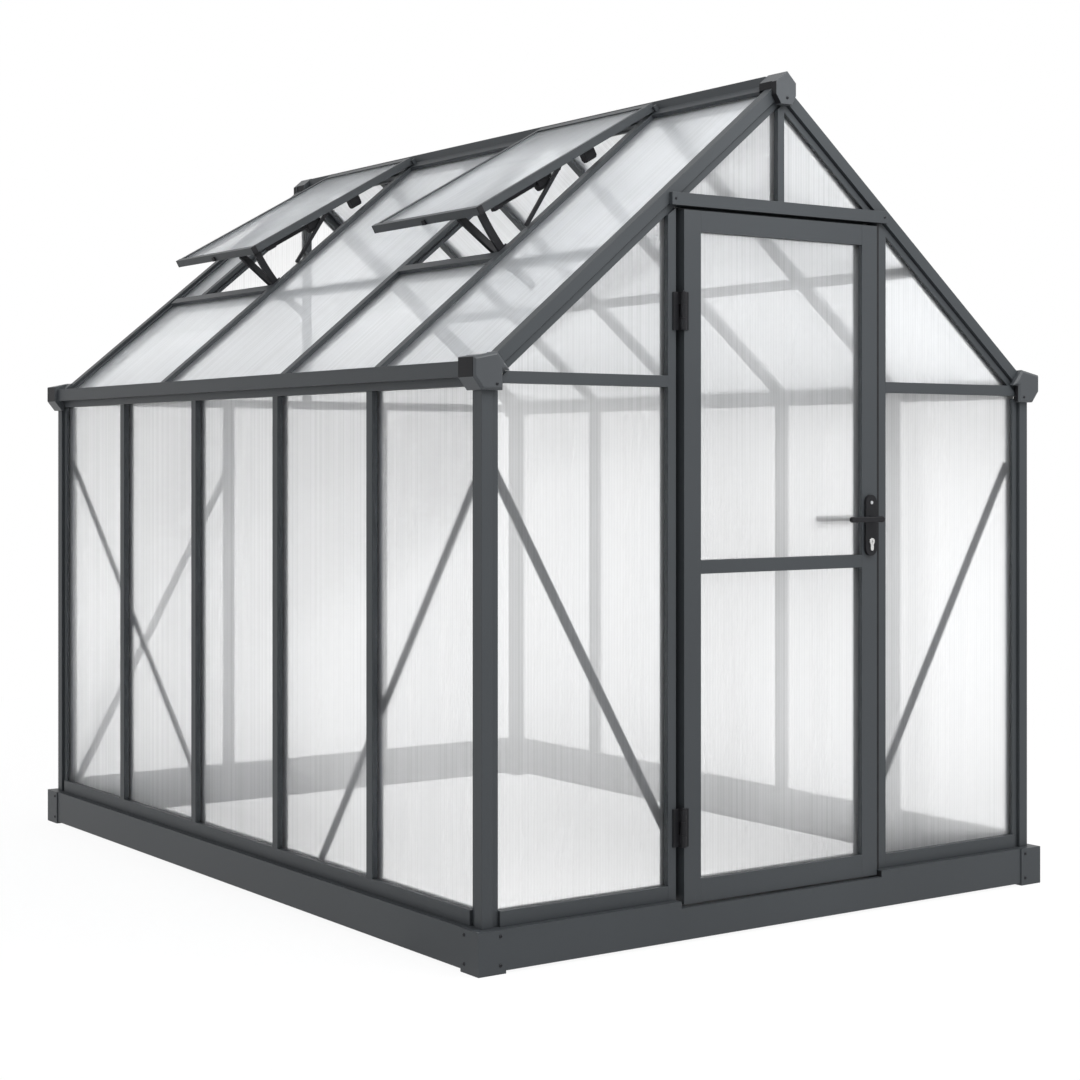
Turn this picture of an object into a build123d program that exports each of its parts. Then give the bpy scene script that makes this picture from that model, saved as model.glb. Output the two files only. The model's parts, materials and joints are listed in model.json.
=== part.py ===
"""A walk-in garden greenhouse: an aluminium frame, twin-wall glazing, a hinged door and two roof vents.

Millimetres, +Z up. X runs across the door gable, Y from the door to the rear, the origin is on the ground
in the middle of the plan. The door is shut and the vents stand part open.
"""

import os
from math import asin, atan2, cos, degrees, hypot, radians, sin, sqrt, tan

from build123d import *

os.makedirs("parts", exist_ok=True)

# Plan, heights and pitch of the house
base_width = 1850
base_length = 2520
base_height = 100
wall_inset = 25
eave_bottom = 1330
roof_edge = 1372
pitch = 39.5

# Glazing sheet and the slots that hold it
panel = 6
panel_play = 0.3
panel_end_gap = 2
slot_depth = 12

# Wall and roof extrusions
cap = 16
roof_cap = 12
inner_flange = 10
bar_face = 28
bar_web = 8
edge_main = 30
edge_lip = 20
edge_slot_depth = 14
lip_recess = 8
groove_width = 3
groove_depth = 5
mitre_gap = 0.5

# Base boards, corner brackets and their screws
board_thickness = 2
board_foot = 30
board_shelf_spare = 2
bracket_wall = 3
bracket_leg = 75
bracket_foot = 6
anchor_diameter = 10
anchor_inset = 50
screw_diameter = 5
screw_head = 9
screw_head_height = 2.2
screw_length = 10
screw_from_corner = 60
screw_from_edge = 14
hole_play = 0.2

# Sills, side bars, gutter
sill_height = 36
end_bay = 450
rear_bar_place = 300
gutter_floor = 1350
gutter_top = 1387
gutter_out = 22
gutter_wall = 3
gutter_seat = 10

# Ridge, roof bars and purlins
ridge_wing = 40
ridge_stem = 12
ridge_stem_drop = 15
ridge_spine = 20
ridge_spine_up = 15.1
ridge_panel_top = 26
eave_lap = 5
purlin_depth = 15
cap_plate = 23
cap_crease = 4
cap_width = 66
cap_shoulder = 40
cap_drop = 64
cap_toe = 36
cap_saddle = 60
cap_rise = 4

# Eave connectors
connector_out = 10
connector_front = 17
connector_wall_lap = 8
connector_drop = 10
connector_lid = 6
connector_reach = 50
connector_chamfer = 6

# Gable bars and doorway
gable_bottom = 1337
king_face = 21
door_corner_clear = 21.7
header_height = 31
fascia_lap = 37.5
fascia_depth = 12
post_beyond = 41.5
hinge_post = 24
latch_post = 36
stop_depth = 10
stop_lap_hinge = 12.5
stop_lap_latch = 5.5
stop_lap_top = 12
stop_lap_up = 10
threshold_drop = 17
seal_thickness = 3.7
seal_inset = 1

# Diagonal straps
strap_width = 25
strap_thickness = 3
strap_post_z = 1150
strap_sill_y = 425
strap_bar_z = 205
strap_door_z = 275
strap_corner_inset = 3

# Door leaf
door_half = 320.5
door_bottom = 88
door_head_gap = 9
door_thickness = 34
door_proud = 10
stile = 52.5
top_rail = 52
bottom_rail = 57
mid_rail_bottom = 885
mid_rail = 33

# Door hinges
hinge_beyond = 6.5
hinge_out = 5
hinge_heights = (274, 1521)
hinge_tall = 92
hinge_middle = 32
knuckle = 15
hinge_pin = 6
pin_play = 0.05
leaf_gap = 0.3
leaf_clear = 1
fixed_leaf = 4
fixed_leaf_reach = 22
web_width = 4.5
door_leaf = 3
door_leaf_reach = 10
pin_head = 9
pin_head_height = 3

# Lock and handle
handle_in = 26.5
lever_z = 1010
plate_width = 38
plate_bottom = 915
plate_top = 1072
plate_thickness = 8
hub = 16
hub_gap = 0.3
hub_reach = 40
lever_length = 110
lever_tall = 14
lever_thick = 12
lever_round = 3
spindle = 8
spindle_hole = 12
plate_screw_z = 1052
plate_screw = 4.8
plate_screw_head = 9
plate_screw_head_height = 1.5
case_length = 39.5
case_depth = 18
case_bottom = 925
case_top = 1040
case_centre_in = 21
bolt_depth = 12
bolt_play = 0.2
latch_tall = 18
latch_out = 4
latch_length = 14.5
latch_channel_spare = 5
latch_bevel = 3
deadbolt_z = 952
deadbolt_tall = 20
deadbolt_length = 15.8
deadbolt_channel_spare = 1
deadbolt_inset = 0.2
deadbolt_throw = 12
cylinder_barrel = 17
cylinder_fin = 10
cylinder_drop = 24
cylinder_front = 11
cylinder_rear = 11
cylinder_play = 0.1
plug = 11
plug_length = 28
plug_proud = 0.5
keyway = (1.6, 7, 12)
strike_thickness = 1.5
strike_spare = 2.7

# Roof vents and their openers
vent_rest = 10
rear_curb = 195
vent_sill_top = 656
vent_sill = 28
vent_axis_s = 20
vent_axis_rise = 10
vent_lap = 14
vent_rail = 14
vent_low_rail = 16
vent_top_rail = 26
vent_under = -8
vent_over = 14
vent_slot_low = 4
vent_slot_depth = 8
vent_nose = 16
vent_pin = 6
vent_pin_depth = 18
vent_lug = 7
vent_lug_gap = 1
vent_lug_long = 12
arm_back = 20
arm_deep = 22
arm_thick = 9
arm_offset = 21.5
arm_angle = 24
arm_foot_back = 44
arm_foot_h = (-6, -1)
arm_foot_side = (17, 140)
strut_size = (14, 8)
strut_back = 28
strut_h = -4
strut_side = 130
strut_angle = 22.8
bracket_back_gap = 0.6
bracket_span = (-26, -2)
bracket_reach = 42
cheek = 5
cheek_play = 0.5
roller = 10
roller_level = -14
roller_play = 0.3
tube_radius = 8
tube_side = 28
tube_h = -18
tube_from_crank = 32
tube_length = 208
tube_bore_depth = 150
piston_diameter = 7
piston_gap = 0.7
piston_length = 127
clamp_length = 28
clamp_side = 37
clamp_half = 9
clamp_h = (-8, 3)
clamp_drop = -27
crank_back = 310
crank_h = -3
crank_length = 200
crank_wide = 10
crank_side = (1, 9)
crank_hub = 12
crank_hub_end = 34
crank_pin = 6
crank_foot_clear = 1.3
lug_radius = 15
lug_roller = 8
lug_web = 6
lug_side = (22, 34)

# Worked out from the sizes above
slot = panel + 2 * panel_play
wall_depth = cap + slot + inner_flange
roof_depth = roof_cap + slot + inner_flange
edge_size = edge_main + edge_lip
wall_x = base_width / 2 - wall_inset
wall_y = base_length / 2 - wall_inset
inner_x = wall_x - edge_size
inner_y = wall_y - edge_size
sin_p = sin(radians(pitch))
cos_p = cos(radians(pitch))
tan_p = tan(radians(pitch))
ridge_z = roof_edge + wall_x * tan_p
sill_top = base_height + sill_height
gable_top = gable_bottom + bar_face
ridge_top = ridge_z + ridge_spine_up
door_top = ridge_z - (door_half + door_corner_clear) * tan_p - edge_size / cos_p
header_bottom = door_top + door_head_gap
header_top = header_bottom + header_height
bar_slot = (bar_face - bar_web) / 2
bar_hold = bar_web / 2 + panel_end_gap
edge_hold = edge_slot_depth - panel_end_gap
rafter_end = wall_x / cos_p
bar_end = (wall_x - eave_lap) / cos_p
roof_panel_end = bar_end - panel_end_gap
roof_holds_n = (-roof_cap - slot + panel_play, -roof_cap - panel_play)
sheet_in = (cap + panel_play, cap + slot - panel_play)
wall_bar_pitch = (inner_y - end_bay) / 1.5
wall_bars_along = [(i - 1.5) * wall_bar_pitch for i in range(4)]
board_bottom = bracket_foot
board_x = base_width / 2 - bracket_wall
board_y = base_length / 2 - bracket_wall
board_shelf = wall_inset - bracket_wall + wall_depth + board_shelf_spare
threshold_top = base_height - threshold_drop
fascia_half = door_half + fascia_lap
post_outer = door_half + post_beyond
hinge_post_in = -(post_outer - hinge_post)
latch_post_in = post_outer - latch_post
strike_pocket = door_half - deadbolt_inset + deadbolt_throw + strike_spare - latch_post_in
door_front = -wall_y - door_proud
door_back = door_front + door_thickness
stop_front = door_back + seal_thickness + panel_play
hinge_x = -door_half - hinge_beyond
hinge_y = door_front - hinge_out
stile_in = door_half - stile
door_mid = (door_front + door_back) / 2
lock_y = door_front + case_centre_in
handle_x = door_half - handle_in
case_left = door_half - case_length
latch_back = door_half - latch_length
latch_channel = latch_back - latch_channel_spare
deadbolt_back = door_half - deadbolt_inset - deadbolt_length
deadbolt_channel = deadbolt_back - deadbolt_channel_spare
curb_place = inner_y - rear_curb
vent_bays = {
    "vent_front": (wall_bars_along[0], wall_bars_along[1]),
    "vent_rear": (curb_place - wall_bar_pitch, curb_place),
}
vent_reach = vent_sill_top + vent_lap - vent_axis_s
arm_outer = vent_reach - arm_back
arm_inner = arm_outer - arm_deep
crank_a = vent_reach - crank_back
tube_span = (crank_a + tube_from_crank, crank_a + tube_from_crank + tube_length)
piston_tip = crank_a + lug_roller / 2 + piston_gap
LEFT, RIGHT, FRONT, REAR = (-1, 0), (1, 0), (0, -1), (0, 1)
corners = [(sx, sy) for sx in (-1, 1) for sy in (-1, 1)]


# Planes that follow the walls and slopes
def level(side, reach, z):
    """Across a level member: x out of the house, y up, z along the wall."""
    return Plane((side[0] * reach, side[1] * reach, z), x_dir=(*side, 0), z_dir=(side[1], -side[0], 0))


def upright(side, reach, along, z):
    """Across an upright member: y out of the house, z up."""
    place = (side[0] * reach + abs(side[1]) * along, side[1] * reach + abs(side[0]) * along, z)
    return Plane(place, x_dir=(side[1], -side[0], 0), z_dir=(0, 0, 1))


def gable(y):
    """Across the house at y: x to the right, y up, z towards the front."""
    return Plane((0, y, 0), x_dir=(1, 0, 0), z_dir=(0, -1, 0))


def incline(side, angle, origin):
    """On a slope: x down the slope, z out of it. side is -1 on the left and 1 on the right."""
    a = radians(angle)
    return Plane(origin, x_dir=(side * cos(a), 0, -sin(a)), z_dir=(side * sin(a), 0, cos(a)))


def roof(side):
    """The outer plane of one roof slope, from the ridge line down."""
    return incline(side, pitch, (0, 0, ridge_z))


def roof_point(side, s, y, n):
    """A point s down the slope from the ridge, at y, n out of the roof plane."""
    return (side * (s * cos_p + n * sin_p), y, ridge_z - s * sin_p + n * cos_p)


def roof_z(u, n):
    """Height of the plane n out of the roof, at u from the middle of the house."""
    return ridge_z - u * tan_p + n / cos_p


def roof_u(z, n):
    """Distance from the middle of the house where the plane n out of the roof is at height z."""
    return (ridge_z + n / cos_p - z) / tan_p


# Shapes that repeat
def patch(x, y, mode=Mode.ADD):
    """A rectangle on the current sketch, between two x and two y values."""
    with Locations(((x[0] + x[1]) / 2, (y[0] + y[1]) / 2)):
        Rectangle(abs(x[1] - x[0]), abs(y[1] - y[0]), mode=mode)


def block(plane, x, y, z, mode=Mode.ADD):
    """A square-edged block between two values along each axis of a plane."""
    with BuildSketch(plane.offset(min(z))) as face:
        patch(x, y)
    extrude(face.sketch, amount=abs(z[1] - z[0]), mode=mode)


def rod(origin, direction, diameter, length, mode=Mode.ADD):
    """A round rod, or a bore, from a point along a direction."""
    with BuildSketch(Plane(origin, z_dir=direction)) as face:
        Circle(diameter / 2)
    extrude(face.sketch, amount=length, mode=mode)


def plate(points, y, mode=Mode.ADD):
    """A plate across the house with an outline of (x, z) points, between two y values."""
    with BuildSketch(gable(max(y))) as face:
        with BuildLine():
            Polyline(*points, close=True)
        make_face()
    extrude(face.sketch, amount=abs(y[1] - y[0]), mode=mode)


def bar_section(face, outer):
    """H section with its outer face on y = 0, which holds a sheet edge in each side."""
    patch((-face / 2, face / 2), (-outer, 0))
    patch((-bar_web / 2, bar_web / 2), (-outer - slot, -outer))
    patch((-face / 2, face / 2), (-outer - slot - inner_flange, -outer - slot))


def rafter_strip(side, n, y, mode=Mode.ADD):
    """A strip along one rafter between two depths under the roof plane and two y values."""
    start = mitre_gap / 2
    foot = [roof_point(side, rafter_end, 0, depth) for depth in n]
    outline = [(side * start, roof_z(start, n[0])), (foot[0][0], foot[0][2])]
    outline += [(foot[1][0], foot[1][2]), (side * start, roof_z(start, n[1]))]
    plate(outline, y, mode)


def chevron(s, n, y):
    """Both wings of the ridge, s down each slope, between two depths under the roof plane."""
    ends = [roof_point(1, s, 0, depth) for depth in n]
    outline = [(-ends[0][0], ends[0][2]), (0, roof_z(0, n[0])), (ends[0][0], ends[0][2])]
    outline += [(ends[1][0], ends[1][2]), (0, roof_z(0, n[1])), (-ends[1][0], ends[1][2])]
    plate(outline, y)


def trim_to_rafters(y):
    """Cuts what stands above the inner edges of both rafters of one gable."""
    for side in (-1, 1):
        width = (side * y[0], side * y[1])
        block(roof(side), (-edge_size, 2 * rafter_end), width, (-edge_size, rafter_end), Mode.SUBTRACT)


def strap(plane, start, end):
    """A flat brace on a wall's inner face, from one point to another."""
    run = (end[0] - start[0], end[1] - start[1])
    with BuildSketch(plane) as face:
        with Locations(((start[0] + end[0]) / 2, (start[1] + end[1]) / 2)):
            Rectangle(hypot(*run), strap_width, rotation=degrees(atan2(run[1], run[0])))
    extrude(face.sketch, amount=strap_thickness)


def base_screw_places():
    """The middle of each bracket screw's head seat, and the way out of the board."""
    for sx, sy in corners:
        for z in (board_bottom + screw_from_edge, base_height - screw_from_edge):
            yield (sx * base_width / 2, sy * (base_length / 2 - screw_from_corner), z), (sx, 0, 0)
            yield (sx * (base_width / 2 - screw_from_corner), sy * base_length / 2, z), (0, sy, 0)


def drill_base_screws():
    """Clearance holes for the bracket screws."""
    for place, out in base_screw_places():
        inward = (-out[0], -out[1], 0)
        rod(place, inward, screw_diameter + hole_play, screw_length, Mode.SUBTRACT)


# Base boards: folded channels, mitred at the corners, the front one stepped down at the doorway
board_height = base_height - board_bottom
for name, sides in {"base_boards_side": (LEFT, RIGHT), "base_boards_end": (FRONT, REAR)}.items():
    with BuildPart() as base_boards:
        for side in sides:
            reach = abs(side[0]) * board_x + abs(side[1]) * board_y
            half = abs(side[0]) * board_y + abs(side[1]) * board_x
            with BuildSketch(level(side, reach, board_bottom)):
                patch((-board_thickness, 0), (0, board_height))
                patch((-board_shelf, 0), (board_height - board_thickness, board_height))
                patch((-board_foot, 0), (0, board_thickness))
            extrude(amount=half, both=True)
            for end in (-1, 1):
                sx, sy = (side[0] or end, side[1] or end)
                corner = (sx * board_x, sy * board_y)
                inner = (corner[0] - sx * board_shelf, corner[1] - sy * board_shelf)
                square = (inner[0], corner[1]) if side[0] else (corner[0], inner[1])
                with BuildSketch(Plane.XY):
                    with BuildLine():
                        Polyline(corner, inner, square, close=True)
                    make_face()
                extrude(amount=base_height, mode=Mode.SUBTRACT)
        if FRONT in sides:
            doorway = (hinge_post_in, latch_post_in)
            lip = (threshold_top - board_thickness, threshold_top)
            block(Plane.XY, doorway, (-board_y, -board_y + board_shelf), (lip[0], base_height), Mode.SUBTRACT)
            block(Plane.XY, doorway, (-board_y, -board_y + board_shelf), lip)
        drill_base_screws()
    base_boards.part.label = name
    export_step(base_boards.part, f"parts/{name}.step")


# Corner brackets: an angle round each corner of the boards, with a foot and an anchor hole
with BuildPart() as base_corner_brackets:
    for sx, sy in corners:
        corner = Plane((sx * base_width / 2, sy * base_length / 2, 0))
        with BuildSketch(corner):
            patch((0, -sx * bracket_leg), (0, -sy * bracket_wall))
            patch((0, -sx * bracket_wall), (0, -sy * bracket_leg))
        extrude(amount=base_height)
        with BuildSketch(corner):
            patch((0, -sx * bracket_leg), (0, -sy * bracket_leg))
            with Locations((-sx * anchor_inset, -sy * anchor_inset)):
                Circle(anchor_diameter / 2, mode=Mode.SUBTRACT)
        extrude(amount=bracket_foot)
    drill_base_screws()
base_corner_brackets.part.label = "base_corner_brackets"
export_step(base_corner_brackets.part, "parts/base_corner_brackets.step")

# Bracket screws: pan heads outside, shanks through bracket and board
with BuildPart() as base_screws:
    for place, out in base_screw_places():
        rod(place, out, screw_head, screw_head_height)
        rod(place, (-out[0], -out[1], 0), screw_diameter, screw_length)
base_screws.part.label = "base_screws"
export_step(base_screws.part, "parts/base_screws.step")


# Sills: the bottom rails of the walls, with the sheet slot on top
def sill_section():
    patch((-wall_depth, 0), (0, sill_height))
    patch((-cap - slot, -cap), (sill_height - slot_depth, sill_height), Mode.SUBTRACT)


with BuildPart() as sills:
    for side in (LEFT, RIGHT):
        with BuildSketch(level(side, wall_x, base_height)):
            sill_section()
        extrude(amount=inner_y, both=True)
    with BuildSketch(level(REAR, wall_y, base_height)):
        sill_section()
    extrude(amount=inner_x, both=True)
    for start in (-inner_x, post_outer):
        with BuildSketch(level(FRONT, wall_y, base_height).offset(start)):
            sill_section()
        extrude(amount=inner_x - post_outer)
sills.part.label = "sills"
export_step(sills.part, "parts/sills.step")

# Corner posts: a square tube with a recessed, slotted lip along each wall
with BuildPart() as corner_posts:
    for sx, sy in corners:
        with BuildSketch(Plane((sx * wall_x, sy * wall_y, base_height))):
            patch((0, -sx * edge_main), (0, -sy * edge_main))
            patch((-sx * edge_main, -sx * edge_size), (-sy * lip_recess, -sy * wall_depth))
            patch((-sx * lip_recess, -sx * wall_depth), (-sy * edge_main, -sy * edge_size))
            hold = (edge_size - edge_slot_depth, edge_size)
            patch((-sx * hold[0], -sx * hold[1]), (-sy * cap, -sy * (cap + slot)), Mode.SUBTRACT)
            patch((-sx * cap, -sx * (cap + slot)), (-sy * hold[0], -sy * hold[1]), Mode.SUBTRACT)
            groove = (edge_main, edge_main + groove_width)
            floor = (lip_recess, lip_recess + groove_depth)
            patch((-sx * groove[0], -sx * groove[1]), (-sy * floor[0], -sy * floor[1]), Mode.SUBTRACT)
            patch((-sx * floor[0], -sx * floor[1]), (-sy * groove[0], -sy * groove[1]), Mode.SUBTRACT)
        extrude(amount=eave_bottom - base_height)
corner_posts.part.label = "corner_posts"
export_step(corner_posts.part, "parts/corner_posts.step")

# Wall bars between the sheets of the side and rear walls
with BuildPart() as wall_bars:
    for side in (LEFT, RIGHT):
        for along in wall_bars_along:
            with BuildSketch(upright(side, wall_x, along, sill_top)):
                bar_section(bar_face, cap)
            extrude(amount=eave_bottom - sill_top)
    for along in (-rear_bar_place, rear_bar_place):
        with BuildSketch(upright(REAR, wall_y, along, sill_top)):
            bar_section(bar_face, cap)
        extrude(amount=gable_bottom - sill_top)
wall_bars.part.label = "wall_bars"
export_step(wall_bars.part, "parts/wall_bars.step")

# Eave gutters: the top rails of the side walls, with a channel outside and a sloped seat for the roof sheets
with BuildPart() as eave_gutters:
    for side in (LEFT, RIGHT):
        with BuildSketch(level(side, wall_x, 0)):
            with BuildLine():
                Polyline(
                    (-wall_depth, eave_bottom),
                    (0, eave_bottom),
                    (0, gutter_floor),
                    (gutter_out, gutter_floor),
                    (gutter_out, gutter_top),
                    (gutter_out - gutter_wall, gutter_top),
                    (gutter_out - gutter_wall, gutter_floor + gutter_wall),
                    (-gutter_seat, gutter_floor + gutter_wall),
                    (-gutter_seat, roof_z(wall_x - gutter_seat, -roof_cap - slot)),
                    (-wall_depth, roof_z(wall_x - wall_depth, -roof_cap - slot)),
                    close=True,
                )
            make_face()
            patch((-cap - slot, -cap), (eave_bottom, eave_bottom + slot_depth), Mode.SUBTRACT)
        extrude(amount=inner_y, both=True)
eave_gutters.part.label = "eave_gutters"
export_step(eave_gutters.part, "parts/eave_gutters.step")

# Rafters: square tubes up the gables, with slotted lips for the roof sheets and the gable sheets
with BuildPart() as rafters:
    for side, sy in corners:
        near = (sy * wall_y, sy * (wall_y - edge_main))
        roof_lip = (sy * (wall_y - edge_main), sy * inner_y)
        roof_slot = (sy * (inner_y + edge_slot_depth), sy * inner_y)
        roof_groove = (sy * (wall_y - edge_main), sy * (wall_y - edge_main - groove_width))
        gable_lip = (sy * (wall_y - lip_recess), sy * (wall_y - wall_depth))
        gable_slot = (sy * (wall_y - cap), sy * (wall_y - cap - slot))
        gable_groove = (sy * (wall_y - lip_recess), sy * (wall_y - lip_recess - groove_depth))
        rafter_strip(side, (0, -edge_main), near)
        rafter_strip(side, (-lip_recess, -roof_depth), roof_lip)
        rafter_strip(side, (-edge_main, -edge_size), gable_lip)
        rafter_strip(side, (-roof_cap, -roof_cap - slot), roof_slot, Mode.SUBTRACT)
        rafter_strip(side, (-lip_recess, -lip_recess - groove_depth), roof_groove, Mode.SUBTRACT)
        rafter_strip(side, (-edge_size + edge_slot_depth, -edge_size), gable_slot, Mode.SUBTRACT)
        rafter_strip(side, (-edge_main, -edge_main - groove_width), gable_groove, Mode.SUBTRACT)
rafters.part.label = "rafters"
export_step(rafters.part, "parts/rafters.step")

# Ridge beam: a spine with wings over the sheets, ledges under them and a stem between
with BuildPart() as ridge_beam:
    along = (-inner_y, inner_y)
    chevron(ridge_wing, (0, -roof_cap), along)
    chevron(ridge_wing, (-roof_cap - slot, -roof_depth), along)
    stem_foot = roof_z(0, -roof_depth) - ridge_stem_drop
    block(Plane.XY, (-ridge_stem / 2, ridge_stem / 2), along, (stem_foot, ridge_z - roof_cap))
    block(Plane.XY, (-ridge_spine / 2, ridge_spine / 2), along, (ridge_z - roof_cap, ridge_top))
ridge_beam.part.label = "ridge_beam"
export_step(ridge_beam.part, "parts/ridge_beam.step")

# Ridge end caps: creased shields over the rafter mitres, with a saddle back to the ridge beam
with BuildPart() as ridge_caps:
    half = cap_width / 2
    shield = [
        (0, ridge_top + cap_rise),
        (half, ridge_top + cap_rise - half * tan_p),
        (half, ridge_z - cap_shoulder),
        (cap_toe / 2, ridge_z - cap_drop),
        (-cap_toe / 2, ridge_z - cap_drop),
        (-half, ridge_z - cap_shoulder),
        (-half, ridge_top + cap_rise - half * tan_p),
    ]
    seat = cap_saddle / 2
    saddle = [(-seat, roof_z(seat, 0)), (0, ridge_z), (seat, roof_z(seat, 0))]
    saddle += [(seat, ridge_top + cap_rise - seat * tan_p), (0, ridge_top + cap_rise)]
    saddle += [(-seat, ridge_top + cap_rise - seat * tan_p)]
    for sy in (-1, 1):
        plate(shield, (sy * wall_y, sy * (wall_y + cap_plate)))
        for sx in (-1, 1):
            with BuildSketch(Plane.XY.offset(eave_bottom)):
                with BuildLine():
                    Polyline(
                        (0, sy * (wall_y + cap_plate)),
                        (sx * half, sy * (wall_y + cap_plate - cap_crease)),
                        (sx * half, sy * (wall_y + cap_plate)),
                        close=True,
                    )
                make_face()
            extrude(amount=ridge_top, mode=Mode.SUBTRACT)
        plate(saddle, (sy * wall_y, sy * inner_y))
ridge_caps.part.label = "ridge_caps"
export_step(ridge_caps.part, "parts/ridge_caps.step")

# Eave connectors: faceted mouldings outside the corners where post, rafter and gutter meet
with BuildPart() as eave_connectors:
    for sx, sy in corners:
        lid_out = roof_point(sx, rafter_end - connector_reach, 0, connector_lid)
        lid_in = roof_point(sx, rafter_end - connector_reach, 0, -edge_size)
        side_out = wall_x + gutter_out + connector_out
        front = [
            (sx * (wall_x + connector_wall_lap), eave_bottom - connector_drop),
            (sx * inner_x, eave_bottom - connector_drop),
            (sx * inner_x, gable_top),
            (lid_in[0], lid_in[2]),
            (lid_out[0], lid_out[2]),
            (sx * side_out, gutter_top + connector_wall_lap),
            (sx * side_out, gutter_floor),
        ]
        plate(front, (sy * (wall_y + connector_front), sy * inner_y))
        inside = (sx * wall_x, sx * (inner_x - connector_reach))
        high = (eave_bottom - edge_size, roof_z(inner_x - connector_reach, 0))
        block(Plane.XY, inside, (sy * wall_y, sy * inner_y), high, Mode.SUBTRACT)
        lid_s = (rafter_end - connector_reach, rafter_end)
        lid_y = (sx * sy * (wall_y + connector_front), sx * sy * (wall_y - edge_main))
        block(roof(sx), lid_s, lid_y, (0, connector_lid))
    upright_faces = eave_connectors.faces().filter_by(Axis.Y)
    for outer in (upright_faces.group_by(Axis.Y)[0], upright_faces.group_by(Axis.Y)[-1]):
        chamfer(outer.edges(), connector_chamfer)
eave_connectors.part.label = "eave_connectors"
export_step(eave_connectors.part, "parts/eave_connectors.step")

# Roof bars: the same section as the wall bars with a thinner cap, notched over the gutter
flange_end = (wall_x - wall_depth + (roof_cap + slot) * sin_p) / cos_p
left_bars = [(y, bar_end) for y in (*vent_bays["vent_front"], vent_bays["vent_rear"][0])]
left_bars.append((curb_place, vent_sill_top))
right_bars = [(y, bar_end) for y in wall_bars_along]
for name, side, bars in (("roof_bars_left", -1, left_bars), ("roof_bars_right", 1, right_bars)):
    with BuildPart() as roof_bars:
        for y, end in bars:
            section = Plane(roof_point(side, ridge_wing, y, 0), x_dir=(0, side, 0), z_dir=roof(side).x_dir)
            with BuildSketch(section):
                bar_section(bar_face, roof_cap)
            extrude(amount=end - ridge_wing)
            if end == bar_end:
                width = (side * y - bar_face, side * y + bar_face)
                under = (-roof_depth - inner_flange, -roof_cap - slot)
                block(roof(side), (flange_end, bar_end + eave_lap), width, under, Mode.SUBTRACT)
    roof_bars.part.label = name
    export_step(roof_bars.part, f"parts/{name}.step")

# Purlins: one under each slope's bars, at the height of the vent sills
sill_span = (vent_sill_top, vent_sill_top + vent_sill)
with BuildPart() as purlins:
    for side in (-1, 1):
        ends = (-wall_y + wall_depth, wall_y - wall_depth)
        block(roof(side), sill_span, ends, (-roof_depth - purlin_depth, -roof_depth))
purlins.part.label = "purlins"
export_step(purlins.part, "parts/purlins.step")

# Vent sills: the lower edge of each vent opening, slotted for the sheet below
sill_slot_low = (sill_span[1] - slot_depth, sill_span[1])
sill_slot_high = (sill_span[0], sill_span[0] + slot_depth)
hold_n = (-roof_cap - slot, -roof_cap)
with BuildPart() as vent_sills:
    for start, end in vent_bays.values():
        y0 = start + bar_face / 2
        y1 = inner_y if end == curb_place else end - bar_face / 2
        block(roof(-1), sill_span, (-y0, -y1), (-roof_depth, 0))
        block(roof(-1), sill_slot_low, (-y0, -y1), hold_n, Mode.SUBTRACT)
        if end == curb_place:
            block(roof(-1), sill_slot_high, (-curb_place - bar_web / 2, -y1), hold_n, Mode.SUBTRACT)
vent_sills.part.label = "vent_sills"
export_step(vent_sills.part, "parts/vent_sills.step")

# Front gable bars: a cross beam on each side of the door and the king post over it
with BuildPart() as gable_bars_front:
    for start in (-inner_x, post_outer):
        across = Plane((start, -wall_y, (gable_bottom + gable_top) / 2), x_dir=(0, 0, 1), z_dir=(1, 0, 0))
        with BuildSketch(across):
            bar_section(bar_face, cap)
        extrude(amount=inner_x - post_outer)
    with BuildSketch(upright(FRONT, wall_y, 0, header_top)):
        bar_section(king_face, cap)
    extrude(amount=ridge_z - header_top)
    trim_to_rafters((-wall_y - edge_lip, -wall_y + edge_size))
gable_bars_front.part.label = "gable_bars_front"
export_step(gable_bars_front.part, "parts/gable_bars_front.step")

# Rear gable bars: one cross beam and a king post
with BuildPart() as gable_bars_rear:
    across = Plane((0, wall_y, (gable_bottom + gable_top) / 2), x_dir=(0, 0, 1), z_dir=(-1, 0, 0))
    with BuildSketch(across):
        bar_section(bar_face, cap)
    extrude(amount=inner_x, both=True)
    with BuildSketch(upright(REAR, wall_y, 0, gable_top + panel_play)):
        bar_section(king_face, cap)
    extrude(amount=ridge_z - gable_top)
    trim_to_rafters((wall_y + edge_lip, wall_y - edge_size))
gable_bars_rear.part.label = "gable_bars_rear"
export_step(gable_bars_rear.part, "parts/gable_bars_rear.step")

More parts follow.
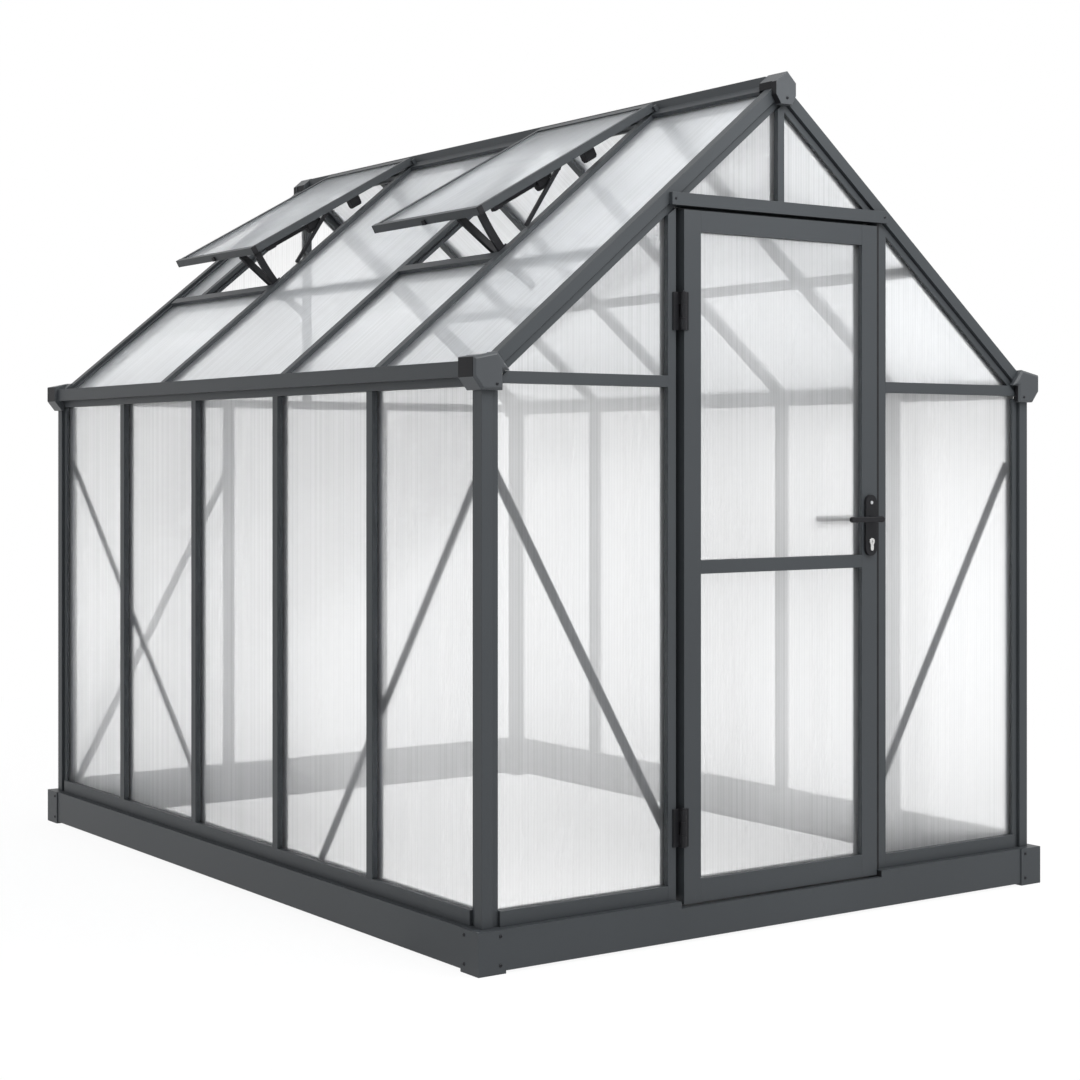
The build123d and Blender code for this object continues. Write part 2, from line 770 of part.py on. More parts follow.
# Door posts: slotted for the side sheets, with a stop behind the door and pockets for strike and deadbolt
stop = (stop_front, stop_front + stop_depth)
stop_top = door_top - stop_lap_top
case_y = (lock_y - case_depth / 2, lock_y + case_depth / 2)
bolt_y = (lock_y - bolt_depth / 2, lock_y + bolt_depth / 2)
strike_x = (latch_post_in, latch_post_in + strike_thickness)
with BuildPart() as door_posts:
    stop_edges = (stop_lap_hinge - door_half, door_half - stop_lap_latch)
    for sx, inner, lap in zip((-1, 1), (hinge_post_in, latch_post_in), stop_edges):
        outer = sx * post_outer
        hold = (outer, sx * (post_outer - slot_depth))
        with BuildSketch(Plane.XY.offset(base_height)):
            patch((inner, outer), (-wall_y, -wall_y + wall_depth))
            patch(hold, (-wall_y + cap, -wall_y + cap + slot), Mode.SUBTRACT)
        extrude(amount=header_bottom - base_height)
        block(Plane.XY, (inner, lap), stop, (base_height, stop_top))
    block(Plane.XY, strike_x, case_y, (case_bottom, case_top), Mode.SUBTRACT)
    pocket = (latch_post_in, latch_post_in + strike_pocket)
    pocket_z = (deadbolt_z - deadbolt_tall / 2 - bolt_play, deadbolt_z + deadbolt_tall / 2 + bolt_play)
    pocket_y = (bolt_y[0] - bolt_play, bolt_y[1] + bolt_play)
    block(Plane.XY, pocket, pocket_y, pocket_z, Mode.SUBTRACT)
    trim_to_rafters((-wall_y - edge_lip, -wall_y + edge_size))
door_posts.part.label = "door_posts"
export_step(door_posts.part, "parts/door_posts.step")

# Strike plate, let into the latch post
with BuildPart() as strike_plate:
    block(Plane.XY, strike_x, case_y, (case_bottom, case_top))
    block(Plane.XY, pocket, pocket_y, pocket_z, Mode.SUBTRACT)
strike_plate.part.label = "strike_plate"
export_step(strike_plate.part, "parts/strike_plate.step")

# Door header: a beam between the rafters behind a proud fascia, with the top stop
with BuildPart() as door_header:
    low = roof_u(header_bottom, -edge_size)
    high = roof_u(header_top, -edge_size)
    beam = [(-low, header_bottom), (low, header_bottom), (high, header_top), (-high, header_top)]
    plate(beam, (-wall_y, -wall_y + wall_depth))
    hold_z = (header_top - slot_depth, header_top)
    block(Plane.XY, (-low, low), (-wall_y + cap, -wall_y + cap + slot), hold_z, Mode.SUBTRACT)
    fascia_y = (-wall_y - fascia_depth, -wall_y)
    block(Plane.XY, (-fascia_half, fascia_half), fascia_y, (header_bottom, header_top))
    stop_half = door_half - stop_lap_hinge
    block(Plane.XY, (-stop_half, stop_half), stop, (stop_top, header_bottom + stop_lap_up))
door_header.part.label = "door_header"
export_step(door_header.part, "parts/door_header.step")

# Door seal: soft strips on the stops
seal_y = (stop_front - seal_thickness, stop_front)
with BuildPart() as door_seal:
    for edge, lap, inward in ((-door_half, stop_lap_hinge, 1), (door_half, stop_lap_latch, -1)):
        strip = (edge + inward * seal_inset, edge + inward * lap)
        block(Plane.XY, strip, seal_y, (base_height, stop_top))
    block(Plane.XY, (-stop_half, stop_half), seal_y, (stop_top + seal_inset, door_top - seal_inset))
door_seal.part.label = "door_seal"
export_step(door_seal.part, "parts/door_seal.step")

# Wall braces: flat diagonal straps on the inner faces of the left wall, the front and the rear
with BuildPart() as wall_braces:
    corner_y = inner_y + strap_corner_inset
    corner_x = inner_x + strap_corner_inset
    strap_sill_z = base_height + sill_height / 2
    side_inner = Plane((wall_depth - wall_x, 0, 0), x_dir=(0, 1, 0), z_dir=(1, 0, 0))
    front_inner = gable(-wall_y + wall_depth + strap_thickness)
    rear_inner = gable(wall_y - wall_depth)
    post_mid = post_outer - hinge_post / 2
    strap(side_inner, (-corner_y, strap_post_z), (-strap_sill_y, strap_sill_z))
    strap(side_inner, (corner_y, strap_post_z), (wall_bars_along[2], strap_bar_z))
    for turn in (-1, 1):
        strap(front_inner, (turn * corner_x, strap_post_z), (turn * post_mid, strap_door_z))
    strap(rear_inner, (-corner_x, strap_sill_z), (-rear_bar_place, strap_post_z))
wall_braces.part.label = "wall_braces"
export_step(wall_braces.part, "parts/wall_braces.step")

# Side wall sheets, each held in the slots of sill, gutter and two uprights
side_edges = [-inner_y - edge_hold, *wall_bars_along, inner_y + edge_hold]
sheet_z = (sill_top - slot_depth + panel_end_gap, eave_bottom + slot_depth - panel_end_gap)


def bays(edges):
    """The clear spans between the webs of neighbouring bars; the two outer edges are sheet edges already."""
    last = len(edges) - 1
    for i in range(last):
        yield edges[i] + (bar_hold if i else 0), edges[i + 1] - (bar_hold if i + 1 < last else 0)


for name, side in {"wall_panels_left": -1, "wall_panels_right": 1}.items():
    with BuildPart() as wall_panels:
        depth = (side * (wall_x - sheet_in[0]), side * (wall_x - sheet_in[1]))
        for y0, y1 in bays(side_edges):
            block(Plane.XY, depth, (y0, y1), sheet_z)
    wall_panels.part.label = name
    export_step(wall_panels.part, f"parts/{name}.step")

# Gable wall sheets: below the cross beams, and cut to the rafters above them
gable_edge = inner_x + edge_hold
post_hold = post_outer - slot_depth + panel_end_gap
beam_hold = bar_slot - panel_end_gap
rafter_hold = -edge_size + edge_hold
low_z = (sheet_z[0], gable_bottom + beam_hold)
high_z = gable_top - beam_hold
with BuildPart() as front_panels:
    depth = (-wall_y + sheet_in[0], -wall_y + sheet_in[1])
    head_z = header_top - slot_depth + panel_end_gap
    for sx in (-1, 1):
        block(Plane.XY, (sx * post_hold, sx * gable_edge), depth, low_z)
        wing = [(sx * post_hold, high_z), (sx * post_hold, roof_z(post_hold, rafter_hold))]
        plate([*wing, (sx * roof_u(high_z, rafter_hold), high_z)], depth)
        peak = [(sx * bar_hold, head_z), (sx * bar_hold, roof_z(bar_hold, rafter_hold))]
        plate([*peak, (sx * roof_u(head_z, rafter_hold), head_z)], depth)
front_panels.part.label = "front_panels"
export_step(front_panels.part, "parts/front_panels.step")

with BuildPart() as rear_panels:
    depth = (wall_y - sheet_in[0], wall_y - sheet_in[1])
    for x0, x1 in bays([-gable_edge, -rear_bar_place, rear_bar_place, gable_edge]):
        block(Plane.XY, (x0, x1), depth, low_z)
    for sx in (-1, 1):
        peak = [(sx * bar_hold, high_z), (sx * bar_hold, roof_z(bar_hold, rafter_hold))]
        plate([*peak, (sx * roof_u(high_z, rafter_hold), high_z)], depth)
rear_panels.part.label = "rear_panels"
export_step(rear_panels.part, "parts/rear_panels.step")

# Roof sheets: from ridge to gutter, or from a vent sill down
roof_edge_y = inner_y + edge_hold
below_sill = sill_span[1] - slot_depth + panel_end_gap
above_sill = sill_span[0] + slot_depth - panel_end_gap
front_vent, rear_vent = vent_bays.values()
full = (ridge_panel_top, roof_panel_end)
below = (below_sill, roof_panel_end)
left_sheets = [
    (-roof_edge_y, front_vent[0] - bar_hold, full),
    (front_vent[0] + bar_hold, front_vent[1] - bar_hold, below),
    (front_vent[1] + bar_hold, rear_vent[0] - bar_hold, full),
    (rear_vent[0] + bar_hold, roof_edge_y, below),
    (rear_vent[1] + bar_hold, roof_edge_y, (ridge_panel_top, above_sill)),
]
right_sheets = [(y0, y1, full) for y0, y1 in bays([-roof_edge_y, *wall_bars_along, roof_edge_y])]
for name, side, sheets in (("roof_panels_left", -1, left_sheets), ("roof_panels_right", 1, right_sheets)):
    with BuildPart() as roof_panels:
        for y0, y1, run in sheets:
            block(roof(side), run, (side * y0, side * y1), roof_holds_n)
    roof_panels.part.label = name
    export_step(roof_panels.part, f"parts/{name}.step")

# Door stiles, slotted inside, the latch stile bored for lock and handle
door_slot = (door_mid - slot / 2, door_mid + slot / 2)
through = (door_front - plate_thickness, door_back + plate_thickness)


def cylinder_section(play):
    """The profile of the lock cylinder: a barrel over a narrow fin with a round foot."""
    with Locations((handle_x, deadbolt_z)):
        Circle(cylinder_barrel / 2 + play)
    fin = cylinder_fin / 2 + play
    patch((handle_x - fin, handle_x + fin), (deadbolt_z, deadbolt_z - cylinder_drop + cylinder_fin / 2))
    with Locations((handle_x, deadbolt_z - cylinder_drop + cylinder_fin / 2)):
        Circle(fin)


def cut_lock_bores(y, spindle_bore):
    """Cuts the spindle and cylinder holes between two y values."""
    rod((handle_x, max(y), lever_z), (0, -1, 0), spindle_bore, max(y) - min(y), Mode.SUBTRACT)
    with BuildSketch(gable(max(y))) as face:
        cylinder_section(cylinder_play)
    extrude(face.sketch, amount=max(y) - min(y), mode=Mode.SUBTRACT)


with BuildPart() as door_stiles:
    for sx in (-1, 1):
        block(Plane.XY, (sx * stile_in, sx * door_half), (door_front, door_back), (door_bottom, door_top))
        hold = (sx * stile_in, sx * (stile_in + slot_depth))
        block(Plane.XY, hold, door_slot, (door_bottom, door_top), Mode.SUBTRACT)
    block(Plane.XY, (case_left, door_half), case_y, (case_bottom, case_top), Mode.SUBTRACT)
    cut_lock_bores((door_front, door_back), spindle_hole)
    screw_bore = plate_screw + hole_play
    rod((handle_x, door_back, plate_screw_z), (0, -1, 0), screw_bore, door_thickness, Mode.SUBTRACT)
door_stiles.part.label = "door_stiles"
export_step(door_stiles.part, "parts/door_stiles.step")

# Door rails between the stiles
rail_slots = {
    "low": (door_bottom, door_bottom + bottom_rail),
    "mid": (mid_rail_bottom, mid_rail_bottom + mid_rail),
    "top": (door_top - top_rail, door_top),
}
with BuildPart() as door_rails:
    for place, (z0, z1) in rail_slots.items():
        block(Plane.XY, (-stile_in, stile_in), (door_front, door_back), (z0, z1))
        if place != "top":
            block(Plane.XY, (-stile_in, stile_in), door_slot, (z1 - slot_depth, z1), Mode.SUBTRACT)
        if place != "low":
            block(Plane.XY, (-stile_in, stile_in), door_slot, (z0, z0 + slot_depth), Mode.SUBTRACT)
door_rails.part.label = "door_rails"
export_step(door_rails.part, "parts/door_rails.step")

# Door sheets
hold = slot_depth - panel_end_gap
with BuildPart() as door_panels:
    for under, over in (("low", "mid"), ("mid", "top")):
        span = (rail_slots[under][1] - hold, rail_slots[over][0] + hold)
        thick = (door_mid - panel / 2, door_mid + panel / 2)
        block(Plane.XY, (-stile_in - hold, stile_in + hold), thick, span)
door_panels.part.label = "door_panels"
export_step(door_panels.part, "parts/door_panels.step")

# Hinges: a fixed leaf with two knuckles on the post, a door leaf with one between them, and a pin
pin_bore = hinge_pin + 2 * pin_play
knuckle_edge = knuckle / 2
with BuildPart() as hinge_leaves_fixed:
    for z in hinge_heights:
        low, high = z - hinge_tall / 2, z + hinge_tall / 2
        web_x = (hinge_x - knuckle_edge, hinge_x - knuckle_edge + web_width)
        leaf_y = (-wall_y - fixed_leaf, -wall_y)
        block(Plane.XY, (hinge_x - fixed_leaf_reach, web_x[1]), leaf_y, (low, high))
        for z0, z1 in ((low, z - hinge_middle / 2), (z + hinge_middle / 2, high)):
            rod((hinge_x, hinge_y, z0), (0, 0, 1), knuckle, z1 - z0)
            block(Plane.XY, web_x, (hinge_y, -wall_y), (z0, z1))
        rod((hinge_x, hinge_y, low), (0, 0, 1), pin_bore, hinge_tall, Mode.SUBTRACT)
hinge_leaves_fixed.part.label = "hinge_leaves_fixed"
export_step(hinge_leaves_fixed.part, "parts/hinge_leaves_fixed.step")

with BuildPart() as hinge_leaves_door:
    for z in hinge_heights:
        tab = (z - hinge_middle / 2 + leaf_gap, z + hinge_middle / 2 - leaf_gap)
        leaf_x = hinge_x + knuckle_edge + leaf_clear
        leaf_y = (door_front - door_leaf, door_front)
        block(Plane.XY, (leaf_x, leaf_x + door_leaf_reach), leaf_y, (z - hinge_tall / 2, z + hinge_tall / 2))
        block(Plane.XY, (hinge_x, leaf_x), leaf_y, tab)
        rod((hinge_x, hinge_y, tab[0]), (0, 0, 1), knuckle, tab[1] - tab[0])
        rod((hinge_x, hinge_y, tab[0]), (0, 0, 1), pin_bore, tab[1] - tab[0], Mode.SUBTRACT)
hinge_leaves_door.part.label = "hinge_leaves_door"
export_step(hinge_leaves_door.part, "parts/hinge_leaves_door.step")

with BuildPart() as hinge_pins:
    for z in hinge_heights:
        rod((hinge_x, hinge_y, z - hinge_tall / 2), (0, 0, 1), hinge_pin, hinge_tall)
        rod((hinge_x, hinge_y, z + hinge_tall / 2), (0, 0, 1), pin_head, pin_head_height)
hinge_pins.part.label = "hinge_pins"
export_step(hinge_pins.part, "parts/hinge_pins.step")

# Lock case in the latch stile, with channels for both bolts
latch_z = (lever_z - latch_tall / 2, lever_z + latch_tall / 2)
dead_z = (deadbolt_z - deadbolt_tall / 2, deadbolt_z + deadbolt_tall / 2)
with BuildPart() as lock_case:
    block(Plane.XY, (case_left, door_half), case_y, (case_bottom, case_top))
    for back, (z0, z1) in ((latch_channel, latch_z), (deadbolt_channel, dead_z)):
        channel_y = (bolt_y[0] - bolt_play, bolt_y[1] + bolt_play)
        block(Plane.XY, (back, door_half), channel_y, (z0 - bolt_play, z1 + bolt_play), Mode.SUBTRACT)
    cut_lock_bores(case_y, spindle_hole)
lock_case.part.label = "lock_case"
export_step(lock_case.part, "parts/lock_case.step")

# Latch bolt, its nose bevelled on the closing side
with BuildPart() as latch_bolt:
    block(Plane.XY, (latch_back, door_half + latch_out), bolt_y, latch_z)
    nose = latch_bolt.faces().sort_by(Axis.X)[-1].edges().sort_by(Axis.Y)[-1]
    chamfer(nose, latch_bevel)
latch_bolt.part.label = "latch_bolt"
export_step(latch_bolt.part, "parts/latch_bolt.step")

# Deadbolt, drawn back
with BuildPart() as deadbolt:
    block(Plane.XY, (deadbolt_back, door_half - deadbolt_inset), bolt_y, dead_z)
deadbolt.part.label = "deadbolt"
export_step(deadbolt.part, "parts/deadbolt.step")

# Lock cylinder through the door, with a bore for its plug
cylinder_y = (door_front - cylinder_front, door_back + cylinder_rear)
with BuildPart() as lock_cylinder:
    with BuildSketch(gable(cylinder_y[1])):
        cylinder_section(0)
    extrude(amount=cylinder_y[1] - cylinder_y[0])
    rod((handle_x, cylinder_y[0], deadbolt_z), (0, 1, 0), plug + 2 * pin_play, plug_length, Mode.SUBTRACT)
lock_cylinder.part.label = "lock_cylinder"
export_step(lock_cylinder.part, "parts/lock_cylinder.step")

# Key plug with its keyway
with BuildPart() as lock_plug:
    rod((handle_x, cylinder_y[0] - plug_proud, deadbolt_z), (0, 1, 0), plug, plug_length)
    key_x = (handle_x - keyway[0] / 2, handle_x + keyway[0] / 2)
    key_z = (deadbolt_z - keyway[1] / 2, deadbolt_z + keyway[1] / 2)
    key_y = (cylinder_y[0] - plug_proud, cylinder_y[0] - plug_proud + keyway[2])
    block(Plane.XY, key_x, key_y, key_z, Mode.SUBTRACT)
lock_plug.part.label = "lock_plug"
export_step(lock_plug.part, "parts/lock_plug.step")

# Handle plates with round ends, outside and inside
with BuildPart() as handle_plates:
    for back in (door_front, door_back + plate_thickness):
        with BuildSketch(gable(back)):
            with Locations((handle_x, (plate_bottom + plate_top) / 2)):
                SlotOverall(plate_top - plate_bottom, plate_width, rotation=90)
        extrude(amount=plate_thickness)
    cut_lock_bores(through, hub + 2 * pin_play)
    rod((handle_x, through[1], plate_screw_z), (0, -1, 0), screw_bore, through[1] - through[0], Mode.SUBTRACT)
handle_plates.part.label = "handle_plates"
export_step(handle_plates.part, "parts/handle_plates.step")

with BuildPart() as handle_screw:
    rod((handle_x, through[0], plate_screw_z), (0, 1, 0), plate_screw, through[1] - through[0])
    rod((handle_x, through[0], plate_screw_z), (0, -1, 0), plate_screw_head, plate_screw_head_height)
handle_screw.part.label = "handle_screw"
export_step(handle_screw.part, "parts/handle_screw.step")

# Levers: a hub turning in each plate and a rounded bar, the inner one carrying the square spindle
for name, face, out in (("lever_outer", door_front - hub_gap, -1), ("lever_inner", door_back + hub_gap, 1)):
    with BuildPart() as lever:
        bar_y = face + out * (hub_reach + lever_thick / 2)
        with BuildSketch(gable(bar_y + lever_thick / 2)):
            with Locations((handle_x - (lever_length - lever_tall / 2) / 2, lever_z)):
                SlotOverall(lever_length + lever_tall / 2, lever_tall)
        extrude(amount=lever_thick)
        fillet(lever.edges(), lever_round)
        rod((handle_x, face, lever_z), (0, out, 0), hub, hub_reach + lever_thick / 2)
        if out > 0:
            square = (-spindle / 2, spindle / 2)
            middle = Plane((handle_x, face, lever_z), z_dir=(0, -1, 0))
            block(middle, square, square, (0, door_thickness + 2 * hub_gap))
    lever.part.label = name
    export_step(lever.part, f"parts/{name}.step")

# Roof vents at their part-open rest, with the openers on their front rails
vent_plane = incline(-1, pitch - vent_rest, roof_point(-1, vent_axis_s, 0, vent_axis_rise))
vent_panel_h = (vent_slot_low + panel_play, vent_slot_low + slot - panel_play)
rest = radians(vent_rest)
crank_pivot_n = vent_axis_rise + crank_a * sin(rest) + crank_h * cos(rest)
crank_angle = degrees(asin((crank_pivot_n - crank_wide / 2 - crank_foot_clear) / crank_length)) + vent_rest


def vent_point(a, y, h):
    """A point a down the vent from its hinge axis, at y, h out of the vent."""
    return vent_plane.from_local_coords((a, -y, h))


def vent_side(y):
    """Down the vent and out of it, at y: x along the vent, y out of it, z towards the rear."""
    return Plane(vent_point(0, y, 0), x_dir=vent_plane.x_dir, z_dir=(0, 1, 0))


# Vent hinges: a lug and a pin at each end of each vent
with BuildPart() as vent_hinges:
    for start, end in vent_bays.values():
        low, high = start - bar_face / 2, end + bar_face / 2
        for edge, out in ((low, -1), (high, 1)):
            near = edge + out * vent_lug_gap
            lug_s = (vent_axis_s - vent_lug_long / 2, vent_axis_s + vent_lug_long / 2)
            lug_y = (-near, -near - out * vent_lug)
            block(roof(-1), lug_s, lug_y, (0, vent_axis_rise + vent_lug_long / 2))
            rod(vent_point(0, near, 0), (0, -out, 0), vent_pin, vent_pin_depth + vent_lug_gap)
vent_hinges.part.label = "vent_hinges"
export_step(vent_hinges.part, "parts/vent_hinges.step")

# Sill brackets: two cheeks and a roller that guide each vent's curved arm
with BuildPart() as vent_brackets:
    for start, end in vent_bays.values():
        back = (vent_axis_s + arm_outer + bracket_back_gap, vent_sill_top)
        arm_low = start + arm_offset
        arm_high = arm_low + arm_thick
        sides = (arm_low - cheek_play - cheek, arm_high + cheek_play + cheek)
        block(roof(-1), back, (-sides[0], -sides[1]), bracket_span)
        for y0, y1 in ((sides[0], arm_low - cheek_play), (arm_high + cheek_play, sides[1])):
            block(roof(-1), (vent_sill_top - bracket_reach, vent_sill_top), (-y0, -y1), bracket_span)
        roller_r = arm_inner - roller_play - roller / 2
        roller_s = vent_axis_s + sqrt(roller_r**2 - (vent_axis_rise - roller_level) ** 2)
        rod(roof_point(-1, roller_s, sides[0], roller_level), (0, 1, 0), roller, sides[1] - sides[0])
vent_brackets.part.label = "vent_brackets"
export_step(vent_brackets.part, "parts/vent_brackets.step")

for vent, (start, end) in vent_bays.items():
    low, high = start - bar_face / 2, end + bar_face / 2
    inner_rail = low + vent_rail

    # Vent frame: slim rails round the sheet, a round nose on the hinge axis and the crank's pin
    with BuildPart() as frame:
        block(vent_plane, (0, vent_reach), (-low, -high), (vent_under, vent_over))
        gap_a = (vent_top_rail, vent_reach - vent_low_rail)
        gap_y = (-inner_rail, -(high - vent_rail))
        block(vent_plane, gap_a, gap_y, (vent_under, vent_over), Mode.SUBTRACT)
        hold_a = (gap_a[0] - vent_slot_depth, gap_a[1] + vent_slot_depth)
        hold_y = (gap_y[0] + vent_slot_depth, gap_y[1] - vent_slot_depth)
        block(vent_plane, hold_a, hold_y, (vent_slot_low, vent_slot_low + slot), Mode.SUBTRACT)
        rod(vent_point(0, low, 0), (0, 1, 0), vent_nose, high - low)
        for edge, into in ((low, 1), (high, -1)):
            bore_depth = vent_pin_depth + panel_end_gap
            rod(vent_point(0, edge, 0), (0, into, 0), vent_pin + 2 * pin_play, bore_depth, Mode.SUBTRACT)
        rod(vent_point(crank_a, inner_rail, crank_h), (0, 1, 0), crank_pin, crank_hub_end)
    frame.part.label = f"{vent}_frame"
    export_step(frame.part, f"parts/{vent}_frame.step")

    # Vent sheet
    with BuildPart() as sheet:
        sheet_a = (hold_a[0] + panel_end_gap, hold_a[1] - panel_end_gap)
        sheet_y = (hold_y[0] - panel_end_gap, hold_y[1] + panel_end_gap)
        block(vent_plane, sheet_a, sheet_y, vent_panel_h)
    sheet.part.label = f"{vent}_panel"
    export_step(sheet.part, f"parts/{vent}_panel.step")

    # Guide arm: a foot against the low rail, an arc about the hinge axis and a strut that braces it
    with BuildPart() as arm:
        foot_y = (-(start + arm_foot_side[0]), -(start + arm_foot_side[1]))
        block(vent_plane, (vent_reach - arm_foot_back, gap_a[1]), foot_y, arm_foot_h)
        with BuildSketch(vent_side(start + arm_offset)):
            with BuildLine():
                outer = CenterArc((0, 0), arm_outer, 0, -arm_angle)
                inner = CenterArc((0, 0), arm_inner, 0, -arm_angle)
                Line(outer @ 0, inner @ 0)
                Line(outer @ 1, inner @ 1)
            make_face()
        extrude(amount=arm_thick)
        strut_start = vent_point(vent_reach - strut_back, start + strut_side, strut_h)
        mid_radius = (arm_inner + arm_outer) / 2
        toe = (mid_radius * cos(radians(strut_angle)), -mid_radius * sin(radians(strut_angle)))
        strut_end = vent_point(toe[0], start + arm_offset + arm_thick / 2, toe[1])
        run = strut_end - strut_start
        with BuildSketch(Plane(strut_start, x_dir=vent_plane.x_dir, z_dir=run)):
            Rectangle(*strut_size)
        extrude(amount=run.length)
    arm.part.label = f"{vent}_arm"
    export_step(arm.part, f"parts/{vent}_arm.step")

    # Wax cylinder on a clamp to the front rail
    tube_y = start + tube_side
    with BuildPart() as cylinder:
        tube = Plane(vent_point(tube_span[0], tube_y, tube_h), z_dir=vent_plane.x_dir)
        with BuildSketch(tube):
            Circle(tube_radius)
        extrude(amount=tube_span[1] - tube_span[0])
        clamp_a = (tube_span[1] - clamp_length, tube_span[1])
        block(vent_plane, clamp_a, (-inner_rail, -start - clamp_side), clamp_h)
        hanger_y = (-(tube_y - clamp_half), -start - clamp_side)
        block(vent_plane, clamp_a, hanger_y, (clamp_drop, clamp_h[1]))
        with BuildSketch(tube):
            Circle(piston_diameter / 2 + pin_play)
        extrude(amount=tube_bore_depth, mode=Mode.SUBTRACT)
    cylinder.part.label = f"{vent}_cylinder"
    export_step(cylinder.part, f"parts/{vent}_cylinder.step")

    # Piston rod
    with BuildPart() as piston:
        rod(vent_point(piston_tip, tube_y, tube_h), vent_plane.x_dir, piston_diameter, piston_length)
    piston.part.label = f"{vent}_piston"
    export_step(piston.part, f"parts/{vent}_piston.step")

    # Crank: a hub on the frame's pin, a long arm down to the roof bar and a short lug for the piston
    with BuildPart() as crank:
        with BuildSketch(vent_side(start + crank_side[0])):
            with Locations(Location((crank_a, crank_h), -crank_angle)):
                with Locations((crank_length / 2, 0)):
                    SlotCenterToCenter(crank_length, crank_wide)
        extrude(amount=crank_side[1] - crank_side[0])
        hub_start = vent_point(crank_a, start + crank_side[0], crank_h)
        rod(hub_start, (0, 1, 0), crank_hub, crank_hub_end - crank_side[0])
        with BuildSketch(vent_side(start + lug_side[0])):
            patch((crank_a - lug_web / 2, crank_a + lug_web / 2), (crank_h, crank_h - lug_radius))
            with Locations((crank_a, crank_h - lug_radius)):
                Circle(lug_roller / 2)
        extrude(amount=lug_side[1] - lug_side[0])
        rod(hub_start, (0, 1, 0), crank_pin + 2 * pin_play, crank_hub_end, Mode.SUBTRACT)
    crank.part.label = f"{vent}_crank"
    export_step(crank.part, f"parts/{vent}_crank.step")
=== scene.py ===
import json
from math import cos, pi, radians, sin

import bmesh
import bpy
from mathutils import Matrix, Vector

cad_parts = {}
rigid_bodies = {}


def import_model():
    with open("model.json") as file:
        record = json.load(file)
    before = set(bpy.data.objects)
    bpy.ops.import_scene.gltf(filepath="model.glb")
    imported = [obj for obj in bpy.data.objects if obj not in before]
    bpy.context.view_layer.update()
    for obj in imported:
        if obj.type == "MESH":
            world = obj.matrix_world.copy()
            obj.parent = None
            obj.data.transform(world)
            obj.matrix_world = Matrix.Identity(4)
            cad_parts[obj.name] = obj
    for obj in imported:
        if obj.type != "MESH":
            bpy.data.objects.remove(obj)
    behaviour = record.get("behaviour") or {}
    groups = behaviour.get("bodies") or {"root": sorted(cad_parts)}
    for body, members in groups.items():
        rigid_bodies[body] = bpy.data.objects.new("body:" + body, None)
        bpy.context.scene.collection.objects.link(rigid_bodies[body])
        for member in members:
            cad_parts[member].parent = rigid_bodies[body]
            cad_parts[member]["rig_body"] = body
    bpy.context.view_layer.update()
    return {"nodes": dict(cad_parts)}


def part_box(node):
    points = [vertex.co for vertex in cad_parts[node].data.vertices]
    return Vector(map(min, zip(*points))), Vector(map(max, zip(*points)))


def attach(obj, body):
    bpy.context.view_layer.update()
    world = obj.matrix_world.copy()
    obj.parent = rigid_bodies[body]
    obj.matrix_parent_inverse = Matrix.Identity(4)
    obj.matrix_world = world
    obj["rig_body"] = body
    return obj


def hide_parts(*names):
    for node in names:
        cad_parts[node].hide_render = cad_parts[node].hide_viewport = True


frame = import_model()
nodes = frame["nodes"]
scene = bpy.context.scene


# Camera
# It stands off the front left corner at eye level of a seated person, level, with a long lens,
# and its frame is shifted down a little so that the uprights stay upright.
camera = bpy.data.objects.new("camera", bpy.data.cameras.new("camera"))
camera.location = (-3.515, -5.182, 1.1615)
camera.rotation_euler = (radians(90), 0, radians(-35.12))
camera.data.sensor_width = 36
camera.data.lens = 69.86
camera.data.shift_y = -0.074
scene.collection.objects.link(camera)
scene.camera = camera


# Base boards
# Folded aluminium boards, 100 mm high, on which the whole house stands, powder coated in a satin
# anthracite before they are screwed together at the corners.
class Value:
    """The output of a node, on which Python's operators add Math nodes."""

    def __init__(self, tree, socket):
        self.tree = tree
        self.socket = socket

    def math(self, operation, *terms):
        return self.tree.add("ShaderNodeMath", {"operation": operation}, dict(enumerate(terms)))

    def __add__(self, other):
        return self.math("ADD", self, other)

    def __sub__(self, other):
        return self.math("SUBTRACT", self, other)

    def __rsub__(self, other):
        return self.math("SUBTRACT", other, self)

    def __mul__(self, other):
        return self.math("MULTIPLY", self, other)

    def __truediv__(self, other):
        return self.math("DIVIDE", self, other)

    def __pow__(self, other):
        return self.math("POWER", self, other)

    __radd__ = __add__
    __rmul__ = __mul__


class Tree:
    """A node tree that is filled one node at a time."""

    def __init__(self, tree):
        self.tree = tree

    def add(self, kind, settings=None, inputs=None, output=0):
        node = self.tree.nodes.new(kind)
        for name, value in (settings or {}).items():
            setattr(node, name, value)
        for name, value in (inputs or {}).items():
            self.feed(node.inputs[name], value)
        return Value(self, node.outputs[output])

    def feed(self, socket, value):
        for one in value if isinstance(value, list) else [value]:
            if isinstance(one, Value):
                self.tree.links.new(one.socket, socket)
            else:
                socket.default_value = one


class Finish(Tree):
    """A principled material: constants sit on its sockets, and nodes drive what varies."""

    def __init__(self, name, constants):
        self.material = bpy.data.materials.new(name)
        self.material.use_nodes = True
        super().__init__(self.material.node_tree)
        self.shader = self.tree.nodes["Principled BSDF"]
        self.place = self.add("ShaderNodeTexCoord", output="Object")
        self.drive(constants)

    def drive(self, inputs):
        for name, value in inputs.items():
            self.feed(self.shader.inputs[name], value)

    def noise(self, scale, detail=2.0, place=None):
        inputs = {"Vector": place or self.place, "Scale": scale, "Detail": detail}
        return self.add("ShaderNodeTexNoise", None, inputs)

    def blend(self, factor, first, second):
        inputs = {0: factor, 6: (*first, 1), 7: (*second, 1)}
        return self.add("ShaderNodeMix", {"data_type": "RGBA", "clamp_factor": True}, inputs, 2)

    def bump(self, height, distance):
        inputs = {"Height": height, "Distance": distance, "Strength": 1.0}
        return self.add("ShaderNodeBump", None, inputs)


